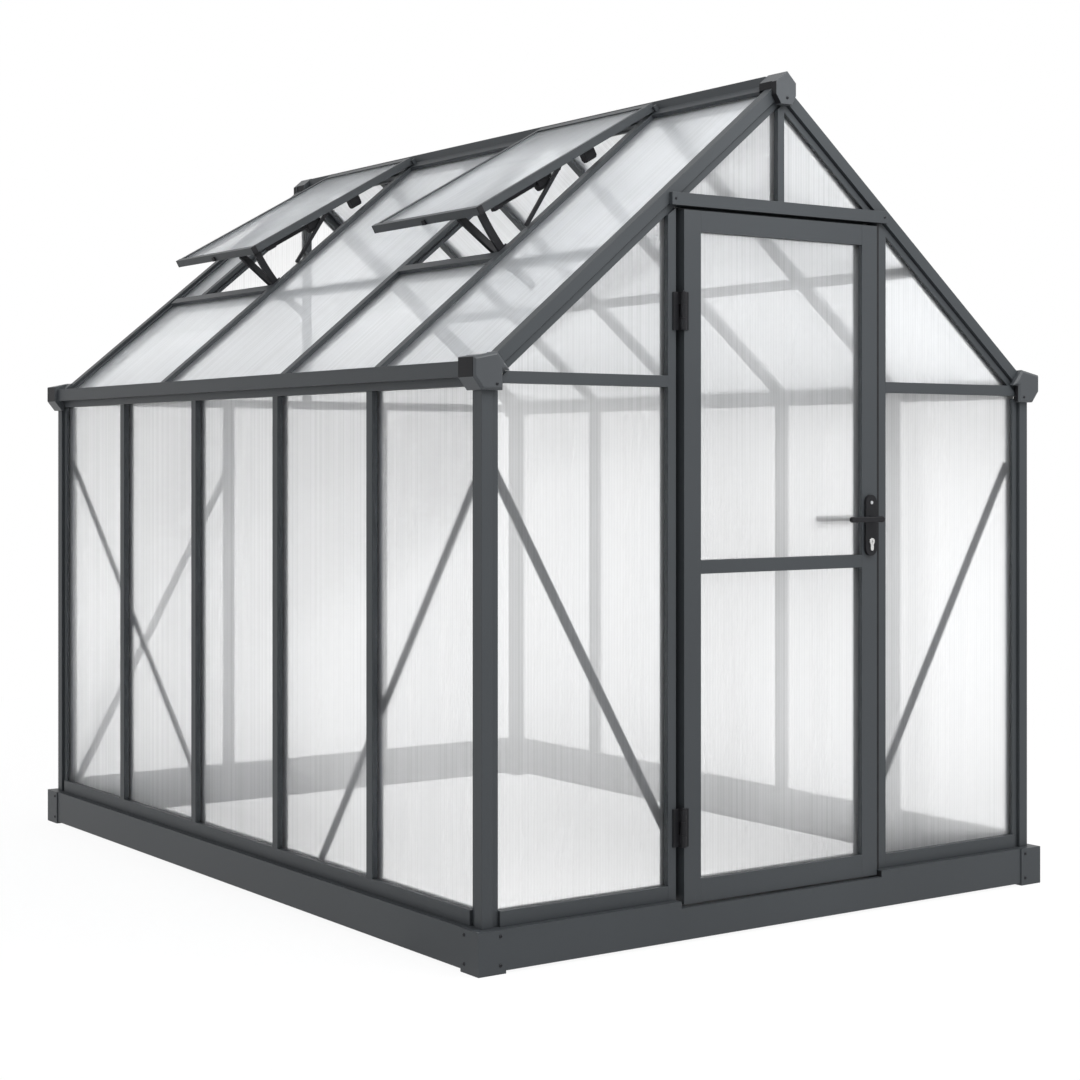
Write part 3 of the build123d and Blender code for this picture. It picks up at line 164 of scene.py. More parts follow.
def powder_coat(name, dark, light, gloss):
    """Baked powder: a fine orange peel, and a shade that drifts a little over each length."""
    coat = Finish(name, {"Specular IOR Level": 0.26})
    drift = coat.noise(1.6, 3.0)
    peel = coat.noise(1100, 1.0)
    speck = coat.noise(2600, 0.0)
    shade = drift * 0.7 + speck * 0.5 - 0.1
    coat.drive(
        {
            "Base Color": coat.blend(shade, dark, light),
            "Roughness": gloss + 0.1 * drift + 0.08 * speck,
            "Normal": coat.bump(peel, 0.00006),
        }
    )
    return coat.material


def placed(name, mesh, body, replaced=()):
    """A finished mesh as a piece that rides on a body and stands for the CAD nodes named."""
    piece = bpy.data.objects.new(name, mesh)
    scene.collection.objects.link(piece)
    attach(piece, body)
    if replaced:
        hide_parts(*replaced)
    return piece


def welded(node):
    """A copy of a CAD piece's mesh with its triangles joined up into whole faces."""
    same_point, same_face = 2e-6, radians(0.5)
    work = bmesh.new()
    work.from_mesh(nodes[node].data)
    bmesh.ops.remove_doubles(work, verts=work.verts, dist=same_point)
    bmesh.ops.dissolve_limit(work, angle_limit=same_face, verts=work.verts, edges=work.edges)
    return work


def flatten(mesh):
    """Shade each corner with the largest face at it, so that only the broken edges look round."""
    larger, alike = 1.05, 0.95
    largest = [(0.0, Vector())] * len(mesh.vertices)
    for face in mesh.polygons:
        for corner in face.vertices:
            area, normal = largest[corner]
            if face.area > larger * area:
                largest[corner] = (face.area, face.normal.copy())
            elif face.area > alike * area:
                largest[corner] = (area, normal + face.normal)
    mesh.normals_split_custom_set_from_vertices([normal.normalized() for area, normal in largest])


def eased(node, material, width, steps=2):
    """A copy of a CAD piece with its sharp edges broken, which stands for the piece."""
    sharp = radians(28)
    work = welded(node)
    for face in work.faces:
        face.smooth = True
    mesh = bpy.data.meshes.new(node)
    work.to_mesh(mesh)
    work.free()
    holder = bpy.data.objects.new("holder", mesh)
    scene.collection.objects.link(holder)
    edge = holder.modifiers.new("edge", "BEVEL")
    edge.width = width
    edge.segments = steps
    edge.limit_method = "ANGLE"
    edge.angle_limit = sharp
    graph = bpy.context.evaluated_depsgraph_get()
    finished = bpy.data.meshes.new_from_object(holder.evaluated_get(graph))
    bpy.data.objects.remove(holder)
    flatten(finished)
    finished.materials.clear()
    finished.materials.append(material)
    return placed(f"{node}_eased", finished, nodes[node]["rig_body"], (node,))


coat_dark, coat_light, coat_gloss = (0.026, 0.029, 0.032), (0.044, 0.049, 0.053), 0.36
anthracite = powder_coat("anthracite_powder_coat", coat_dark, coat_light, coat_gloss)
fold = 0.0007
for node in ("base_boards_side", "base_boards_end", "base_corner_brackets"):
    eased(node, anthracite, fold)


# Base screws
# Zinc-plated pan heads with a cross recess, blackened by the coating, two in each leg of the corner
# brackets. They are placed by the CAD screws that they stand for.
def grow(tree, sizes, base=None):
    """The plain mesh that a geometry tree makes from these sizes."""
    holder = bpy.data.objects.new("holder", base or bpy.data.meshes.new("holder"))
    modifier = holder.modifiers.new("tree", "NODES")
    modifier.node_group = tree
    for item in tree.interface.items_tree:
        if item.in_out == "INPUT" and item.name in sizes:
            modifier[item.identifier] = sizes[item.name]
    scene.collection.objects.link(holder)
    graph = bpy.context.evaluated_depsgraph_get()
    mesh = bpy.data.meshes.new_from_object(holder.evaluated_get(graph))
    bpy.data.objects.remove(holder)
    return mesh


class Recipe(Tree):
    """A geometry tree with named inputs, which ends in real meshes with a material."""

    def __init__(self, name, inputs):
        super().__init__(bpy.data.node_groups.new(name, "GeometryNodeTree"))
        ports = self.tree.interface
        ports.new_socket("Geometry", in_out="INPUT", socket_type="NodeSocketGeometry")
        for key, kind in inputs.items():
            ports.new_socket(key, in_out="INPUT", socket_type=f"NodeSocket{kind}")
        ports.new_socket("Material", in_out="INPUT", socket_type="NodeSocketMaterial")
        ports.new_socket("Geometry", in_out="OUTPUT", socket_type="NodeSocketGeometry")
        self.inlet = self.tree.nodes.new("NodeGroupInput")

    def __getitem__(self, name):
        return Value(self, self.inlet.outputs[name])

    def end(self, geometry):
        real = self.add("GeometryNodeRealizeInstances", None, {0: geometry})
        coat = {"Geometry": real, "Material": self["Material"]}
        painted = self.add("GeometryNodeSetMaterial", None, coat)
        self.feed(self.tree.nodes.new("NodeGroupOutput").inputs[0], painted)
        return self.tree


def pan_head_tree():
    """A domed screw head with a cross recess, put on every point and turned to its 'out' vector."""
    dome_share, slot_share, slot_lift, turn_step = 0.62, 0.26, 1.05, 1.3
    recipe = Recipe("pan_heads", dict.fromkeys(("Head", "Height", "Recess", "Turn"), "Float"))
    head, height = recipe["Head"], recipe["Height"]
    sizes = {"Vertices": 20, "Side Segments": 5, "Radius": head * 0.5, "Depth": height}
    drum = recipe.add("GeometryNodeMeshCylinder", None, sizes)
    spot = recipe.add("GeometryNodeInputPosition")
    parts = recipe.tree.nodes.new("ShaderNodeSeparateXYZ")
    recipe.feed(parts.inputs[0], spot)
    x, y, z = (Value(recipe, parts.outputs[i]) for i in range(3))
    rise = z / height + 0.5
    pull = (1 - rise * rise * dome_share) ** 0.5
    shape = {0: x * pull, 1: y * pull, 2: z + height * 0.5}
    domed = recipe.add("ShaderNodeCombineXYZ", None, shape)
    dome = recipe.add("GeometryNodeSetPosition", None, {"Geometry": drum, "Position": domed})
    slots = []
    for across in (0, 1):
        long, short = recipe["Recess"], recipe["Recess"] * slot_share
        span = {across: long, 1 - across: short, 2: height}
        box = recipe.add("ShaderNodeCombineXYZ", None, span)
        bar = recipe.add("GeometryNodeMeshCube", None, {"Size": box})
        up = recipe.add("ShaderNodeCombineXYZ", None, {2: height * slot_lift})
        raised = {"Geometry": bar, "Translation": up}
        slots.append(recipe.add("GeometryNodeTransform", None, raised))
    cut = {"Mesh 1": dome, "Mesh 2": slots}
    screw = recipe.add("GeometryNodeMeshBoolean", {"operation": "DIFFERENCE"}, cut)
    kind = {"data_type": "FLOAT_VECTOR"}
    out = recipe.add("GeometryNodeInputNamedAttribute", kind, {"Name": "out"})
    aim = recipe.add("FunctionNodeAlignRotationToVector", {"axis": "Z"}, {"Vector": out})
    number = recipe.add("GeometryNodeInputIndex")
    angle = recipe.add("ShaderNodeCombineXYZ", None, {2: number * turn_step + recipe["Turn"]})
    spin = recipe.add("FunctionNodeEulerToRotation", None, {0: angle})
    turn = recipe.add("FunctionNodeRotateRotation", {"rotation_space": "LOCAL"}, {0: aim, 1: spin})
    points = {"Points": recipe["Geometry"], "Instance": screw, "Rotation": turn}
    return recipe.end(recipe.add("GeometryNodeInstanceOnPoints", None, points))


def points_facing(spots):
    """A mesh of loose points, each with the way that it faces."""
    mesh = bpy.data.meshes.new("points")
    mesh.from_pydata([spot for spot, out in spots], [], [])
    facing = mesh.attributes.new("out", "FLOAT_VECTOR", "POINT")
    for item, (spot, out) in zip(facing.data, spots):
        item.vector = out
    return mesh


def screws(name, spots, body, material, head, height, replaced=()):
    """Pan heads at these places, as one piece."""
    recess, first_turn = head * 0.56, 0.4
    sizes = {"Head": head, "Height": height, "Recess": recess, "Turn": first_turn}
    sizes["Material"] = material
    mesh = grow(pan_heads, sizes, points_facing(spots))
    return placed(name, mesh, body, replaced)


def islands(work):
    """The separate solids of a mesh, each as a list of its points."""
    left = set(work.verts)
    while left:
        reached = [left.pop()]
        for vert in reached:
            for edge in vert.link_edges:
                other = edge.other_vert(vert)
                if other in left:
                    left.discard(other)
                    reached.append(other)
        yield [vert.co.copy() for vert in reached]


def plated(name, dark, light, gloss):
    """Zinc-plated or blackened steel: a clear metal with a cloudy, slightly uneven plating."""
    plate = Finish(name, {"Metallic": 0.9})
    cloud = plate.noise(260, 3.0)
    plate.drive(
        {
            "Base Color": plate.blend(cloud * 1.4 - 0.2, dark, light),
            "Roughness": gloss + 0.2 * cloud,
            "Normal": plate.bump(plate.noise(1800, 2.0), 0.00003),
        }
    )
    return plate.material


pan_heads = pan_head_tree()
black_screw = plated("blackened_screw_steel", (0.018, 0.019, 0.021), (0.045, 0.046, 0.05), 0.32)
base_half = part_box("base_corner_brackets")[1]
base_head, base_head_height, head_sink = 0.009, 0.0021, 0.0001
base_spots = []
for solid in islands(welded("base_screws")):
    low = Vector([min(point[i] for point in solid) for i in range(3)])
    high = Vector([max(point[i] for point in solid) for i in range(3)])
    middle = (low + high) / 2
    axis = 0 if high.x - low.x > high.y - low.y else 1
    out = Vector((0, 0, 0))
    out[axis] = 1 if middle[axis] > 0 else -1
    middle[axis] = out[axis] * (base_half[axis] - head_sink)
    base_spots.append((middle, out))
base_spots.sort(key=lambda spot: tuple(spot[0]))
screws(
    "base_screw_heads",
    base_spots,
    "house",
    black_screw,
    base_head,
    base_head_height,
    ("base_screws",),
)


# Wall and gable frame
# Extruded aluminium sills, corner posts, bars and cross beams with slots for the sheets, cut to
# length, coated, and joined with bolts that run in their grooves.
bar_edge = 0.0008
for node in ("sills", "corner_posts", "wall_bars", "gable_bars_front", "gable_bars_rear"):
    eased(node, anthracite, bar_edge)


# Eaves and roof frame
# Gutters along both sides, sloping rafters at the gables, a ridge beam, roof bars, purlins under
# them and the sills of the two vents: the same coated extrusions.
for node in (
    "eave_gutters",
    "rafters",
    "ridge_beam",
    "roof_bars_left",
    "roof_bars_right",
    "purlins",
    "vent_sills",
):
    eased(node, anthracite, bar_edge)


# Doorway
# Two extruded posts and a header with a fascia and a stop all round, a soft black seal on the stop
# with corner pieces, a black rubber strip down the front of the latch post, and a steel strike let
# into the latch post.
def rubber(name):
    """Extruded seal: matt black with a faint bloom."""
    seal = Finish(name, {"Specular IOR Level": 0.12})
    bloom = seal.noise(45, 4.0)
    seal.drive(
        {
            "Base Color": seal.blend(bloom, (0.010, 0.010, 0.011), (0.026, 0.026, 0.027)),
            "Roughness": 0.62 + 0.2 * bloom,
            "Normal": seal.bump(seal.noise(700, 3.0), 0.00008),
        }
    )
    return seal.material


def prism(name, corners, depth, edge, body, material):
    """A moulded piece on a closed outline, with its edges broken."""
    work = bmesh.new()
    face = work.faces.new([work.verts.new(corner) for corner in corners])
    made = bmesh.ops.extrude_face_region(work, geom=[face])["geom"]
    far_end = [one for one in made if isinstance(one, bmesh.types.BMVert)]
    bmesh.ops.translate(work, vec=depth, verts=far_end)
    bmesh.ops.bevel(work, geom=work.edges[:], offset=edge, segments=2, profile=0.5, affect="EDGES")
    bmesh.ops.recalc_face_normals(work, faces=work.faces)
    mesh = bpy.data.meshes.new(name)
    work.to_mesh(mesh)
    work.free()
    mesh.materials.append(material)
    return placed(name, mesh, body)


seal_rubber = rubber("black_seal_rubber")
zinc = plated("zinc_plated_steel", (0.40, 0.41, 0.42), (0.66, 0.67, 0.68), 0.24)
for node in ("door_posts", "door_header"):
    eased(node, anthracite, bar_edge)
seal_edge, plate_edge, corner_edge = 0.0006, 0.0003, 0.0012
eased("door_seal", seal_rubber, seal_edge)
eased("strike_plate", zinc, plate_edge)
seal_front, seal_back = -1.2070, -1.1972
head_low, head_high = 1.7555, 1.7755
for name, near, far in (("hinge", -0.3375, -0.3083), ("latch", 0.3083, 0.3257)):
    outline = [(near, seal_front), (far, seal_front), (far, seal_back), (near, seal_back)]
    corners = [(x, y, head_low) for x, y in outline]
    rise = (0, 0, head_high - head_low)
    prism(f"seal_corner_{name}", corners, rise, corner_edge, "house", seal_rubber)
# A black rubber strip, chamfered on its outer edge, runs the height of the doorway down the front of
# the latch post.
lip = [(0.3262, -1.2345), (0.3262, -1.2375), (0.3285, -1.2390)]
lip += [(0.3335, -1.2390), (0.3345, -1.2345)]
lip_low, lip_high = 0.1005, 1.7755
corners = [(*at, lip_low) for at in lip]
rise = (0, 0, lip_high - lip_low)
prism("latch_lip", corners, rise, seal_edge, "house", seal_rubber)


# Threshold end plugs
# Moulded black plugs pushed into the open ends of the front base board where it steps down under
# the door, each a plate with a chamfered toe.
plug_low, plug_high = 0.0795, 0.0985
plug_front, plug_back = -1.2545, -1.2040
plug_toe, plug_edge = 0.005, 0.0008
for name, inner, depth in (("hinge", -0.3385, -0.006), ("latch", 0.3265, 0.006)):
    toe = plug_low + plug_toe
    outline = [(plug_front, plug_low), (plug_back - plug_toe, plug_low), (plug_back, toe)]
    outline += [(plug_back, plug_high), (plug_front, plug_high)]
    corners = [(inner, y, z) for y, z in outline]
    run = (depth, 0, 0)
    prism(f"threshold_plug_{name}", corners, run, plug_edge, "house", seal_rubber)


# Eave connectors and ridge caps
# Injection-moulded black covers where the coated lengths meet: a faceted shoe outside each corner
# and a creased shield at each end of the ridge, each held by a screw. Their flanks are black, and
# their other faces are a lighter grey that is painted sheen. Two more screws hold the fascia over
# the door.
def moulding(name, dark, light, gloss, sheen):
    """Moulded plastic with a fine spark-eroded texture."""
    mould = Finish(name, {"Specular IOR Level": sheen})
    grain = mould.noise(1500, 3.0)
    drift = mould.noise(9, 2.0)
    mould.drive(
        {
            "Base Color": mould.blend(drift * 0.6 + grain * 0.5 - 0.05, dark, light),
            "Roughness": gloss + 0.12 * grain,
            "Normal": mould.bump(grain, 0.00009),
        }
    )
    return mould.material


jet_dark, jet_light = (0.008, 0.008, 0.009), (0.016, 0.016, 0.018)
# The grey moulding is painted sheen: it stands for the gloss on the front and top faces of the black
# covers.
painted_sheen_dark, painted_sheen_light = (0.034, 0.037, 0.040), (0.058, 0.063, 0.068)
black_moulding = moulding("black_moulding", jet_dark, jet_light, 0.40, 0.12)
painted_sheen_moulding = moulding("anthracite_moulding", painted_sheen_dark, painted_sheen_light, 0.34, 0.3)
cover_edge, cover_steps, flank = 0.0014, 3, 0.8
for node in ("eave_connectors", "ridge_caps"):
    shoe = eased(node, painted_sheen_moulding, cover_edge, cover_steps).data
    shoe.materials.append(black_moulding)
    # Faces turned along x keep the black; all other faces keep the grey, which is painted sheen.
    for face in shoe.polygons:
        face.material_index = int(abs(face.normal.x) > flank)
cap_front, cap_screw_z = 1.2578, 2.066
shoe_front, shoe_screw_x, shoe_screw_z = 1.2518, 0.869, 1.334
cover_head, cover_head_height = 0.008, 0.002
cover_spots = []
for end in (-1, 1):
    out = Vector((0, end, 0))
    cover_spots.append((Vector((0, end * cap_front, cap_screw_z)), out))
    for side in (-1, 1):
        spot = Vector((side * shoe_screw_x, end * shoe_front, shoe_screw_z))
        cover_spots.append((spot, out))
screws(
    "cover_screw_heads", cover_spots, "house", black_screw, cover_head, cover_head_height
)
fascia_front, fascia_screw_x, fascia_screw_z = -1.2468, 0.347, 1.7915
fascia_head, fascia_head_height = 0.007, 0.0018
fascia_spots = []
for side in (-1, 1):
    spot = Vector((side * fascia_screw_x, fascia_front, fascia_screw_z))
    fascia_spots.append((spot, Vector((0, -1, 0))))
screws(
    "fascia_screw_heads", fascia_spots, "house", black_screw, fascia_head, fascia_head_height
)


# Diagonal braces
# Flat straps of mill-finish aluminium across the inner corners of the walls, bolted at both ends.
def mill_finish(name, along):
    """Rolled aluminium strip, with fine lines along it."""
    dark, light = (0.045, 0.048, 0.052), (0.11, 0.115, 0.12)
    mill = Finish(name, {"Metallic": 0.75})
    stretched = mill.add("ShaderNodeMapping", None, {"Vector": mill.place, "Scale": along})
    lines = mill.noise(6, 4.0, stretched)
    cloud = mill.noise(12, 2.0)
    mill.drive(
        {
            "Base Color": mill.blend(lines * 0.8 + cloud * 0.3, dark, light),
            "Roughness": 0.38 + 0.2 * lines,
            "Normal": mill.bump(lines, 0.00004),
        }
    )
    return mill.material


line_scale, strap_edge = (60, 60, 90), 0.0005
strap_metal = mill_finish("mill_finish_strap", line_scale)
eased("wall_braces", strap_metal, strap_edge)


# Glazing sheets
# Twin-wall sheet, 6 mm thick, cut with its flutes running up the walls and down the slopes and slid
# into the slots. The flutes show as fine stripes and blur what stands behind.
def fluted_sheet_tree():
    """A slab whose two skins sink a little between the webs, with square or slanting ends."""
    steps_each = 4
    ends = ("Low Start", "High Start", "Low End", "High End")
    names = ("Width", *ends, "Thickness", "Flute", "Sink")
    recipe = Recipe("fluted_sheet", dict.fromkeys(names, "Float"))
    width, flute = recipe["Width"], recipe["Flute"]
    count = (width / flute).math("ROUND", width / flute)
    grid = {"Size": (1, 1, 1), "Vertices X": count * steps_each + 1}
    cube = recipe.add("GeometryNodeMeshCube", None, grid)
    spot = recipe.add("GeometryNodeInputPosition")
    parts = recipe.tree.nodes.new("ShaderNodeSeparateXYZ")
    recipe.feed(parts.inputs[0], spot)
    x, y, z = (Value(recipe, parts.outputs[i]) for i in range(3))
    share = x + 0.5
    low = recipe["Low Start"] + (recipe["Low End"] - recipe["Low Start"]) * share
    high = recipe["High Start"] + (recipe["High End"] - recipe["High Start"]) * share
    turn = share * count * (2 * pi)
    sink = recipe["Sink"] * (0.5 - 0.5 * turn.math("COSINE", turn))
    thick = y * (recipe["Thickness"] - 2 * sink)
    shaped = {0: share * width, 1: thick, 2: low + (high - low) * (z + 0.5)}
    place = recipe.add("ShaderNodeCombineXYZ", None, shaped)
    slab = recipe.add("GeometryNodeSetPosition", None, {"Geometry": cube, "Position": place})
    facing = recipe.tree.nodes.new("ShaderNodeSeparateXYZ")
    recipe.feed(facing.inputs[0], recipe.add("GeometryNodeInputNormal"))
    side = Value(recipe, facing.outputs[1])
    skin = side.math("GREATER_THAN", side * side, 0.5)
    smooth = {"Geometry": slab, "Selection": skin, "Shade Smooth": True}
    return recipe.end(recipe.add("GeometryNodeSetShadeSmooth", None, smooth))


def twin_wall(name, across, white, shade, clear, milk):
    """Opal twin-wall sheet: partly clear, partly milky, and striped by its webs."""
    sheet = Finish(name, {"IOR": 1.14, "Transmission Weight": clear})
    axes = sheet.tree.nodes.new("ShaderNodeSeparateXYZ")
    sheet.feed(axes.inputs[0], sheet.place)
    run = Value(sheet, axes.outputs[across]) / flute_pitch
    cell = run.math("FLOOR", run)
    part = run - cell
    web = (2 * part - 1).math("ABSOLUTE", 2 * part - 1) ** 5
    chance = sheet.add("ShaderNodeTexWhiteNoise", {"noise_dimensions": "1D"}, {"W": cell})
    cloud = sheet.noise(2.2, 2.0)
    sheet.drive(
        {
            "Base Color": sheet.blend(chance * 0.5 + web * 0.4 + cloud * 0.1, white, shade),
            "Roughness": 0.54 + 0.08 * chance,
            "Alpha": milk + 0.08 * web + 0.07 * chance,
        }
    )
    return sheet.material


def sheet_piece(node, right, up, material):
    """The sheets of a CAD node, each as a fluted slab in the place of its solid."""
    out = up.cross(right)
    turned = Matrix((right, out, up)).transposed().to_4x4()
    whole = bmesh.new()
    for solid in islands(welded(node)):
        flat = [(point.dot(right), point.dot(up), point.dot(out)) for point in solid]
        start, end = min(p[0] for p in flat), max(p[0] for p in flat)
        near, far = min(p[2] for p in flat), max(p[2] for p in flat)
        sizes = {"Width": end - start, "Thickness": far - near}
        sizes |= {"Flute": flute_pitch, "Sink": flute_sink}
        for label, edge in (("Start", start), ("End", end)):
            heights = [p[1] for p in flat if abs(p[0] - edge) < same_edge]
            sizes[f"Low {label}"] = min(heights)
            sizes[f"High {label}"] = max(max(heights), min(heights) + tip_height)
        sizes["Material"] = material
        mesh = grow(sheet_tree, sizes)
        mesh.transform(turned @ Matrix.Translation((start, (near + far) / 2, 0)))
        whole.from_mesh(mesh)
    mesh = bpy.data.meshes.new(node)
    whole.to_mesh(mesh)
    whole.free()
    mesh.materials.append(material)
    return placed(f"{node}_fluted", mesh, nodes[node]["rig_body"], (node,))


def up_slope(side, angle):
    """The way up a roof slope of this angle on the left (-1) or right (1) side."""
    return Vector((-side * cos(radians(angle)), 0, sin(radians(angle))))


flute_pitch, flute_sink = 0.0086, 0.0001
tip_height, same_edge = 0.001, 1e-5
roof_angle, vent_angle = 39.5, 29.5
sheet_tree = fluted_sheet_tree()
opal_white = (0.99, 0.993, 0.996)
opal_shade = (0.93, 0.94, 0.95)
# The roof and vent sheets are the same opal sheet as the walls; their faint blue-grey tint is a
# painted reflection of the sky.
roof_white_painted_sky = (0.96, 0.975, 0.99)
roof_tone_painted_sky = (0.87, 0.895, 0.92)
wall_clear, wall_milk = 0.92, 0.40
roof_clear, roof_milk = 0.78, 0.5
gable_sheet = twin_wall("opal_sheet_gables", 0, opal_white, opal_shade, wall_clear, wall_milk)
wall_sheet = twin_wall("opal_sheet_walls", 1, opal_white, opal_shade, wall_clear, wall_milk)
roof_sheet = twin_wall("opal_sheet_roof", 1, roof_white_painted_sky, roof_tone_painted_sky, roof_clear, roof_milk)
vent_sheet = twin_wall("opal_sheet_vents", 1, roof_white_painted_sky, roof_tone_painted_sky, roof_clear, roof_milk)
across_x, across_y, upright = Vector((1, 0, 0)), Vector((0, 1, 0)), Vector((0, 0, 1))
for node in ("wall_panels_left", "wall_panels_right"):
    sheet_piece(node, across_y, upright, wall_sheet)
for node in ("front_panels", "rear_panels", "door_panels"):
    sheet_piece(node, across_x, upright, gable_sheet)
for node, side in (("roof_panels_left", -1), ("roof_panels_right", 1)):
    sheet_piece(node, across_y, up_slope(side, roof_angle), roof_sheet)
for node in ("vent_front_panel", "vent_rear_panel"):
    sheet_piece(node, across_y, up_slope(-1, vent_angle), vent_sheet)


# Door leaf
# Coated stiles and rails, square cut and corner-keyed, round the two door sheets.
for node in ("door_stiles", "door_rails"):
    eased(node, anthracite, bar_edge)


# Door hinges
# Black coated leaves on the post and the stile, turning on a steel pin with a flat head.
leaf_edge, pin_edge, round_steps = 0.0010, 0.0006, 3
for node in ("hinge_leaves_fixed", "hinge_leaves_door"):
    eased(node, black_moulding, leaf_edge, round_steps)
eased("hinge_pins", black_screw, pin_edge, round_steps)


# Lock and handle
# A cast black lever and plate on each face of the latch stile, a steel plate screw, a nickel-plated
# profile cylinder with its key plug, and a latch and a deadbolt in a steel case.
nickel = plated("nickel_plated_brass", (0.52, 0.52, 0.51), (0.72, 0.72, 0.71), 0.16)
handle_edge, handle_steps = 0.0016, 4
cylinder_edge = 0.0004
for node in ("handle_plates", "lever_outer", "lever_inner"):
    eased(node, black_moulding, handle_edge, handle_steps)
for node in ("lock_cylinder", "lock_plug"):
    eased(node, nickel, cylinder_edge)
for node in ("lock_case", "latch_bolt", "deadbolt", "handle_screw"):
    eased(node, zinc, plate_edge)


# Roof vents
# Two coated frames hinged under the ridge on lugs, each pushed open by an arm with a wax cylinder.
lug_edge, arm_edge, tube_edge, rod_edge = 0.0005, 0.0006, 0.0008, 0.0004
eased("vent_hinges", anthracite, lug_edge)
eased("vent_brackets", black_moulding, arm_edge)
for vent in ("vent_front", "vent_rear"):
    eased(f"{vent}_frame", anthracite, bar_edge)
    eased(f"{vent}_arm", black_moulding, arm_edge)
    eased(f"{vent}_crank", black_moulding, arm_edge)
    eased(f"{vent}_cylinder", black_moulding, tube_edge, round_steps)
    eased(f"{vent}_piston", zinc, rod_edge)


# Vent fittings
# Moulded black pieces on each vent: a housing round the cylinder's end, a hanger under the front
# rail, a channel pressed over the strut, a catch in the middle of the low rail and a plug in each
# of its ends.
def on_vent(down, along, out):
    """A point this far down a vent from its hinge axis, along the house and out of the vent."""
    turn = radians(vent_angle)
    x = vent_axis[0] - down * cos(turn) - out * sin(turn)
    z = vent_axis[1] - down * sin(turn) + out * cos(turn)
    return Vector((x, along, z))


def vent_moulding(vent, name, corners, depth, edge):
    """A black moulding that rides on a vent."""
    return prism(f"{vent}_{name}", corners, depth, edge, vent, black_moulding)


vent_axis = (-0.0218, 2.1089)
vent_starts = {"vent_front": -0.735, "vent_rear": 0.500}
vent_width, vent_reach, rail_lap = 0.490, 0.650, 0.014
block_edge, channel_edge, small_edge = 0.0016, 0.0012, 0.0008
block_end = [(0.040, -0.034), (0.034, -0.042), (0.022, -0.042), (0.016, -0.034)]
housing = [(0.016, -0.010), (0.022, -0.004), (0.034, -0.004), (0.040, -0.010), *block_end]
hanger = [(0.0, -0.001), (0.040, -0.001), *block_end, (0.016, -0.0075), (0.0, -0.0075)]
blocks = {"housing": (housing, 0.384, 0.426), "hanger": (hanger, 0.214, 0.252)}
strut_head_down, strut_head_along, strut_head_out = 0.622, 0.130, -0.004
strut_angle, strut_radius, strut_foot_along = radians(22.8), 0.619, 0.026
channel_wide, channel_deep = 0.020, 0.013
channel_start, channel_share = 0.04, 0.82
catch = [(-0.010, -0.0075), (0.010, -0.0075), (0.007, 0.006), (-0.007, 0.006)]
catch_lap, catch_length = 0.001, 0.006
end_plug = [(0.633, -0.0085), (0.6505, -0.0085), (0.6505, 0.0145), (0.633, 0.0145)]
end_plug_depth = 0.003
for vent, start in vent_starts.items():
    for name, (outline, high, low) in blocks.items():
        corners = [on_vent(high, start + y, h) for y, h in outline]
        run = on_vent(low, start, 0) - on_vent(high, start, 0)
        vent_moulding(vent, name, corners, run, block_edge)
    strut_top = on_vent(strut_head_down, start + strut_head_along, strut_head_out)
    toe = (strut_radius * cos(strut_angle), -strut_radius * sin(strut_angle))
    run = on_vent(toe[0], start + strut_foot_along, toe[1]) - strut_top
    wide = (on_vent(1, 0, 0) - on_vent(0, 0, 0)).normalized()
    wide = (wide - run * wide.dot(run) / run.length_squared).normalized() * (channel_wide / 2)
    deep = wide.cross(run).normalized() * (channel_deep / 2)
    outline = ((-1, -1), (1, -1), (1, 1), (-1, 1))
    corners = [strut_top + run * channel_start + wide * i + deep * j for i, j in outline]
    vent_moulding(vent, "channel", corners, run * channel_share, channel_edge)
    middle = start + vent_width / 2
    corners = [on_vent(vent_reach - catch_lap, middle + y, h) for y, h in catch]
    run = on_vent(catch_length, 0, 0) - on_vent(0, 0, 0)
    vent_moulding(vent, "catch", corners, run, small_edge)
    for name, end, depth in (
        ("front", start - rail_lap, -end_plug_depth),
        ("rear", start + vent_width + rail_lap, end_plug_depth),
    ):
        corners = [on_vent(down, end - depth / 6, h) for down, h in end_plug]
        vent_moulding(vent, f"plug_{name}", corners, (0, depth, 0), small_edge)


# Floor, lamps and world
# A plain pale floor that fades into a white room, one wide soft lamp over the front right, weaker
# ones above the door and over the left, and an even white world.
def seen_directly(tree):
    """1 where a camera, a mirror or a sheet looks at the surface, 0 where it only gives light."""
    path = tree.tree.nodes.new("ShaderNodeLightPath")
    camera_ray = Value(tree, path.outputs["Is Camera Ray"])
    glossy = Value(tree, path.outputs["Is Glossy Ray"])
    through = Value(tree, path.outputs["Is Transmission Ray"])
    return camera_ray.math("MAXIMUM", camera_ray, glossy.math("MAXIMUM", glossy, through))


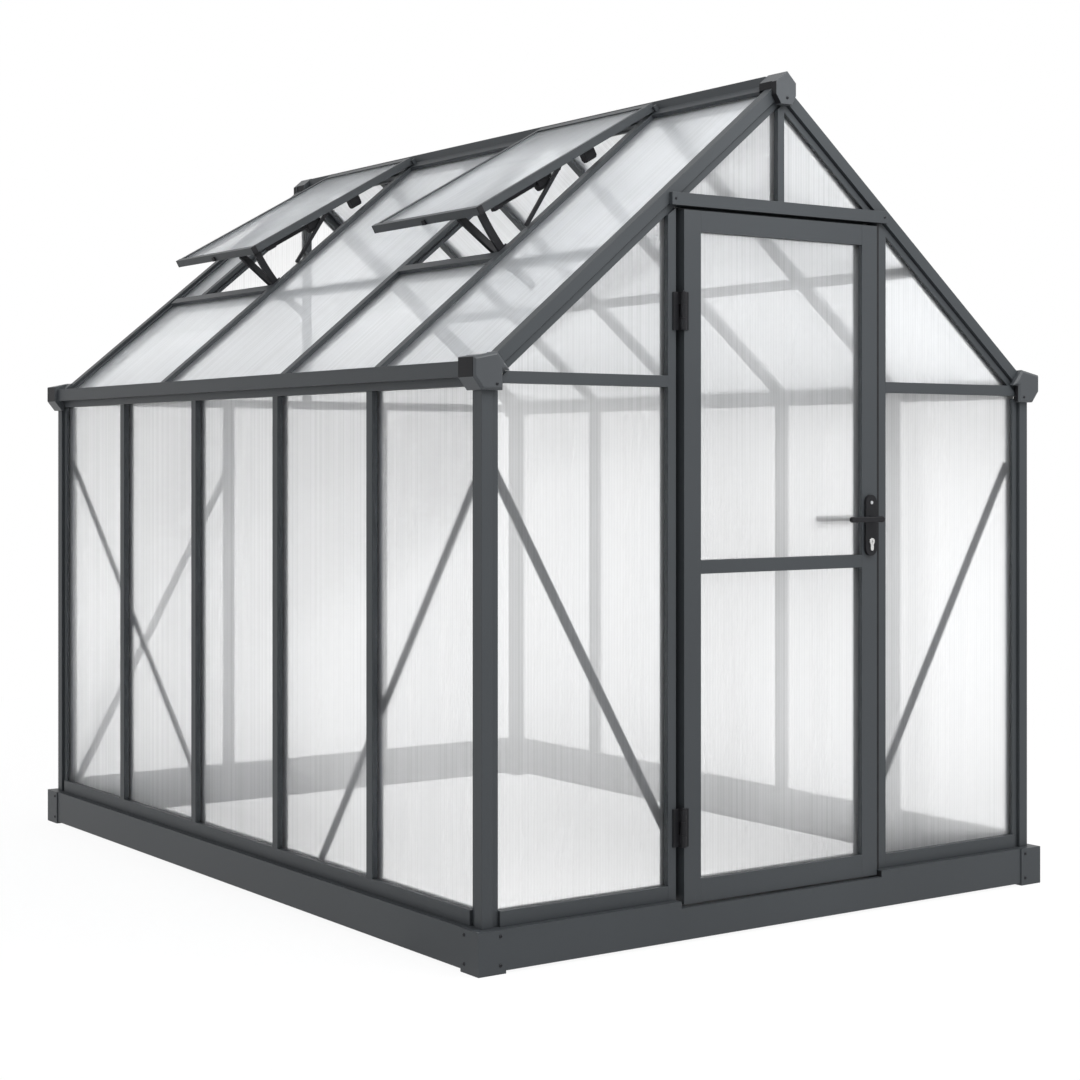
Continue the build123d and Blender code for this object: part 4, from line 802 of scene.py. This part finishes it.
floor_half, floor_sink = 14, 0.0005
near_white, whiter, white_blend = 0.86, 0.04, 0.05
floor_mesh = bpy.data.meshes.new("floor")
corners = [(x * floor_half, y * floor_half, 0) for x, y in ((-1, -1), (1, -1), (1, 1), (-1, 1))]
floor_mesh.from_pydata(corners, [], [(0, 1, 2, 3)])
floor = bpy.data.objects.new("floor", floor_mesh)
floor.location.z = -floor_sink
scene.collection.objects.link(floor)
floor_paint = bpy.data.materials.new("pale_floor")
floor_paint.use_nodes = True
paint = Tree(floor_paint.node_tree)
paint.tree.nodes.clear()
matt = paint.add("ShaderNodeBsdfDiffuse", None, {"Color": (0.88, 0.88, 0.88, 1)})
white = paint.add("ShaderNodeEmission", None, {"Color": (1, 1, 1, 1), "Strength": 1.0})
place = paint.add("ShaderNodeTexCoord", output="Object")
away = paint.add("ShaderNodeVectorMath", {"operation": "LENGTH"}, {0: place}, "Value")
fade = away.math("SMOOTH_MIN", near_white + whiter * away, 1.0, white_blend)
lifted = paint.add("ShaderNodeMixShader", None, {0: seen_directly(paint) * fade, 1: matt, 2: white})
paint.feed(paint.tree.nodes.new("ShaderNodeOutputMaterial").inputs["Surface"], lifted)
floor_mesh.materials.append(floor_paint)

room = bpy.data.worlds.new("white_room")
scene.world = room
room.use_nodes = True
sky = Tree(room.node_tree)
sky.tree.nodes.clear()
seen = seen_directly(sky)
glow = sky.add("ShaderNodeBackground", None, {"Color": (0.95, 0.97, 1.0, 1), "Strength": 1.0})
back = sky.add("ShaderNodeBackground", None, {"Color": (1, 1, 1, 1), "Strength": 1.0})
both = sky.add("ShaderNodeMixShader", None, {0: seen, 1: glow, 2: back})
sky.feed(sky.tree.nodes.new("ShaderNodeOutputWorld").inputs["Surface"], both)

lit_point = Vector((0, 0, 0.9))
for name, spot, side, power in (
    ("key_lamp", (3.2, -4.6, 5.4), 3.4, 165),
    ("head_lamp", (-0.3, -2.6, 3.1), 1.4, 48),
    ("side_lamp", (-5.0, 1.0, 4.6), 3.0, 8),
):
    lamp = bpy.data.lights.new(name, "AREA")
    lamp.shape = "SQUARE"
    lamp.size = side
    lamp.energy = power
    holder = bpy.data.objects.new(name, lamp)
    holder.location = spot
    aim = lit_point - Vector(spot)
    holder.rotation_euler = aim.to_track_quat("-Z", "Y").to_euler()
    scene.collection.objects.link(holder)

scene.view_settings.view_transform = "Standard"
scene.cycles.transparent_max_bounces = 32
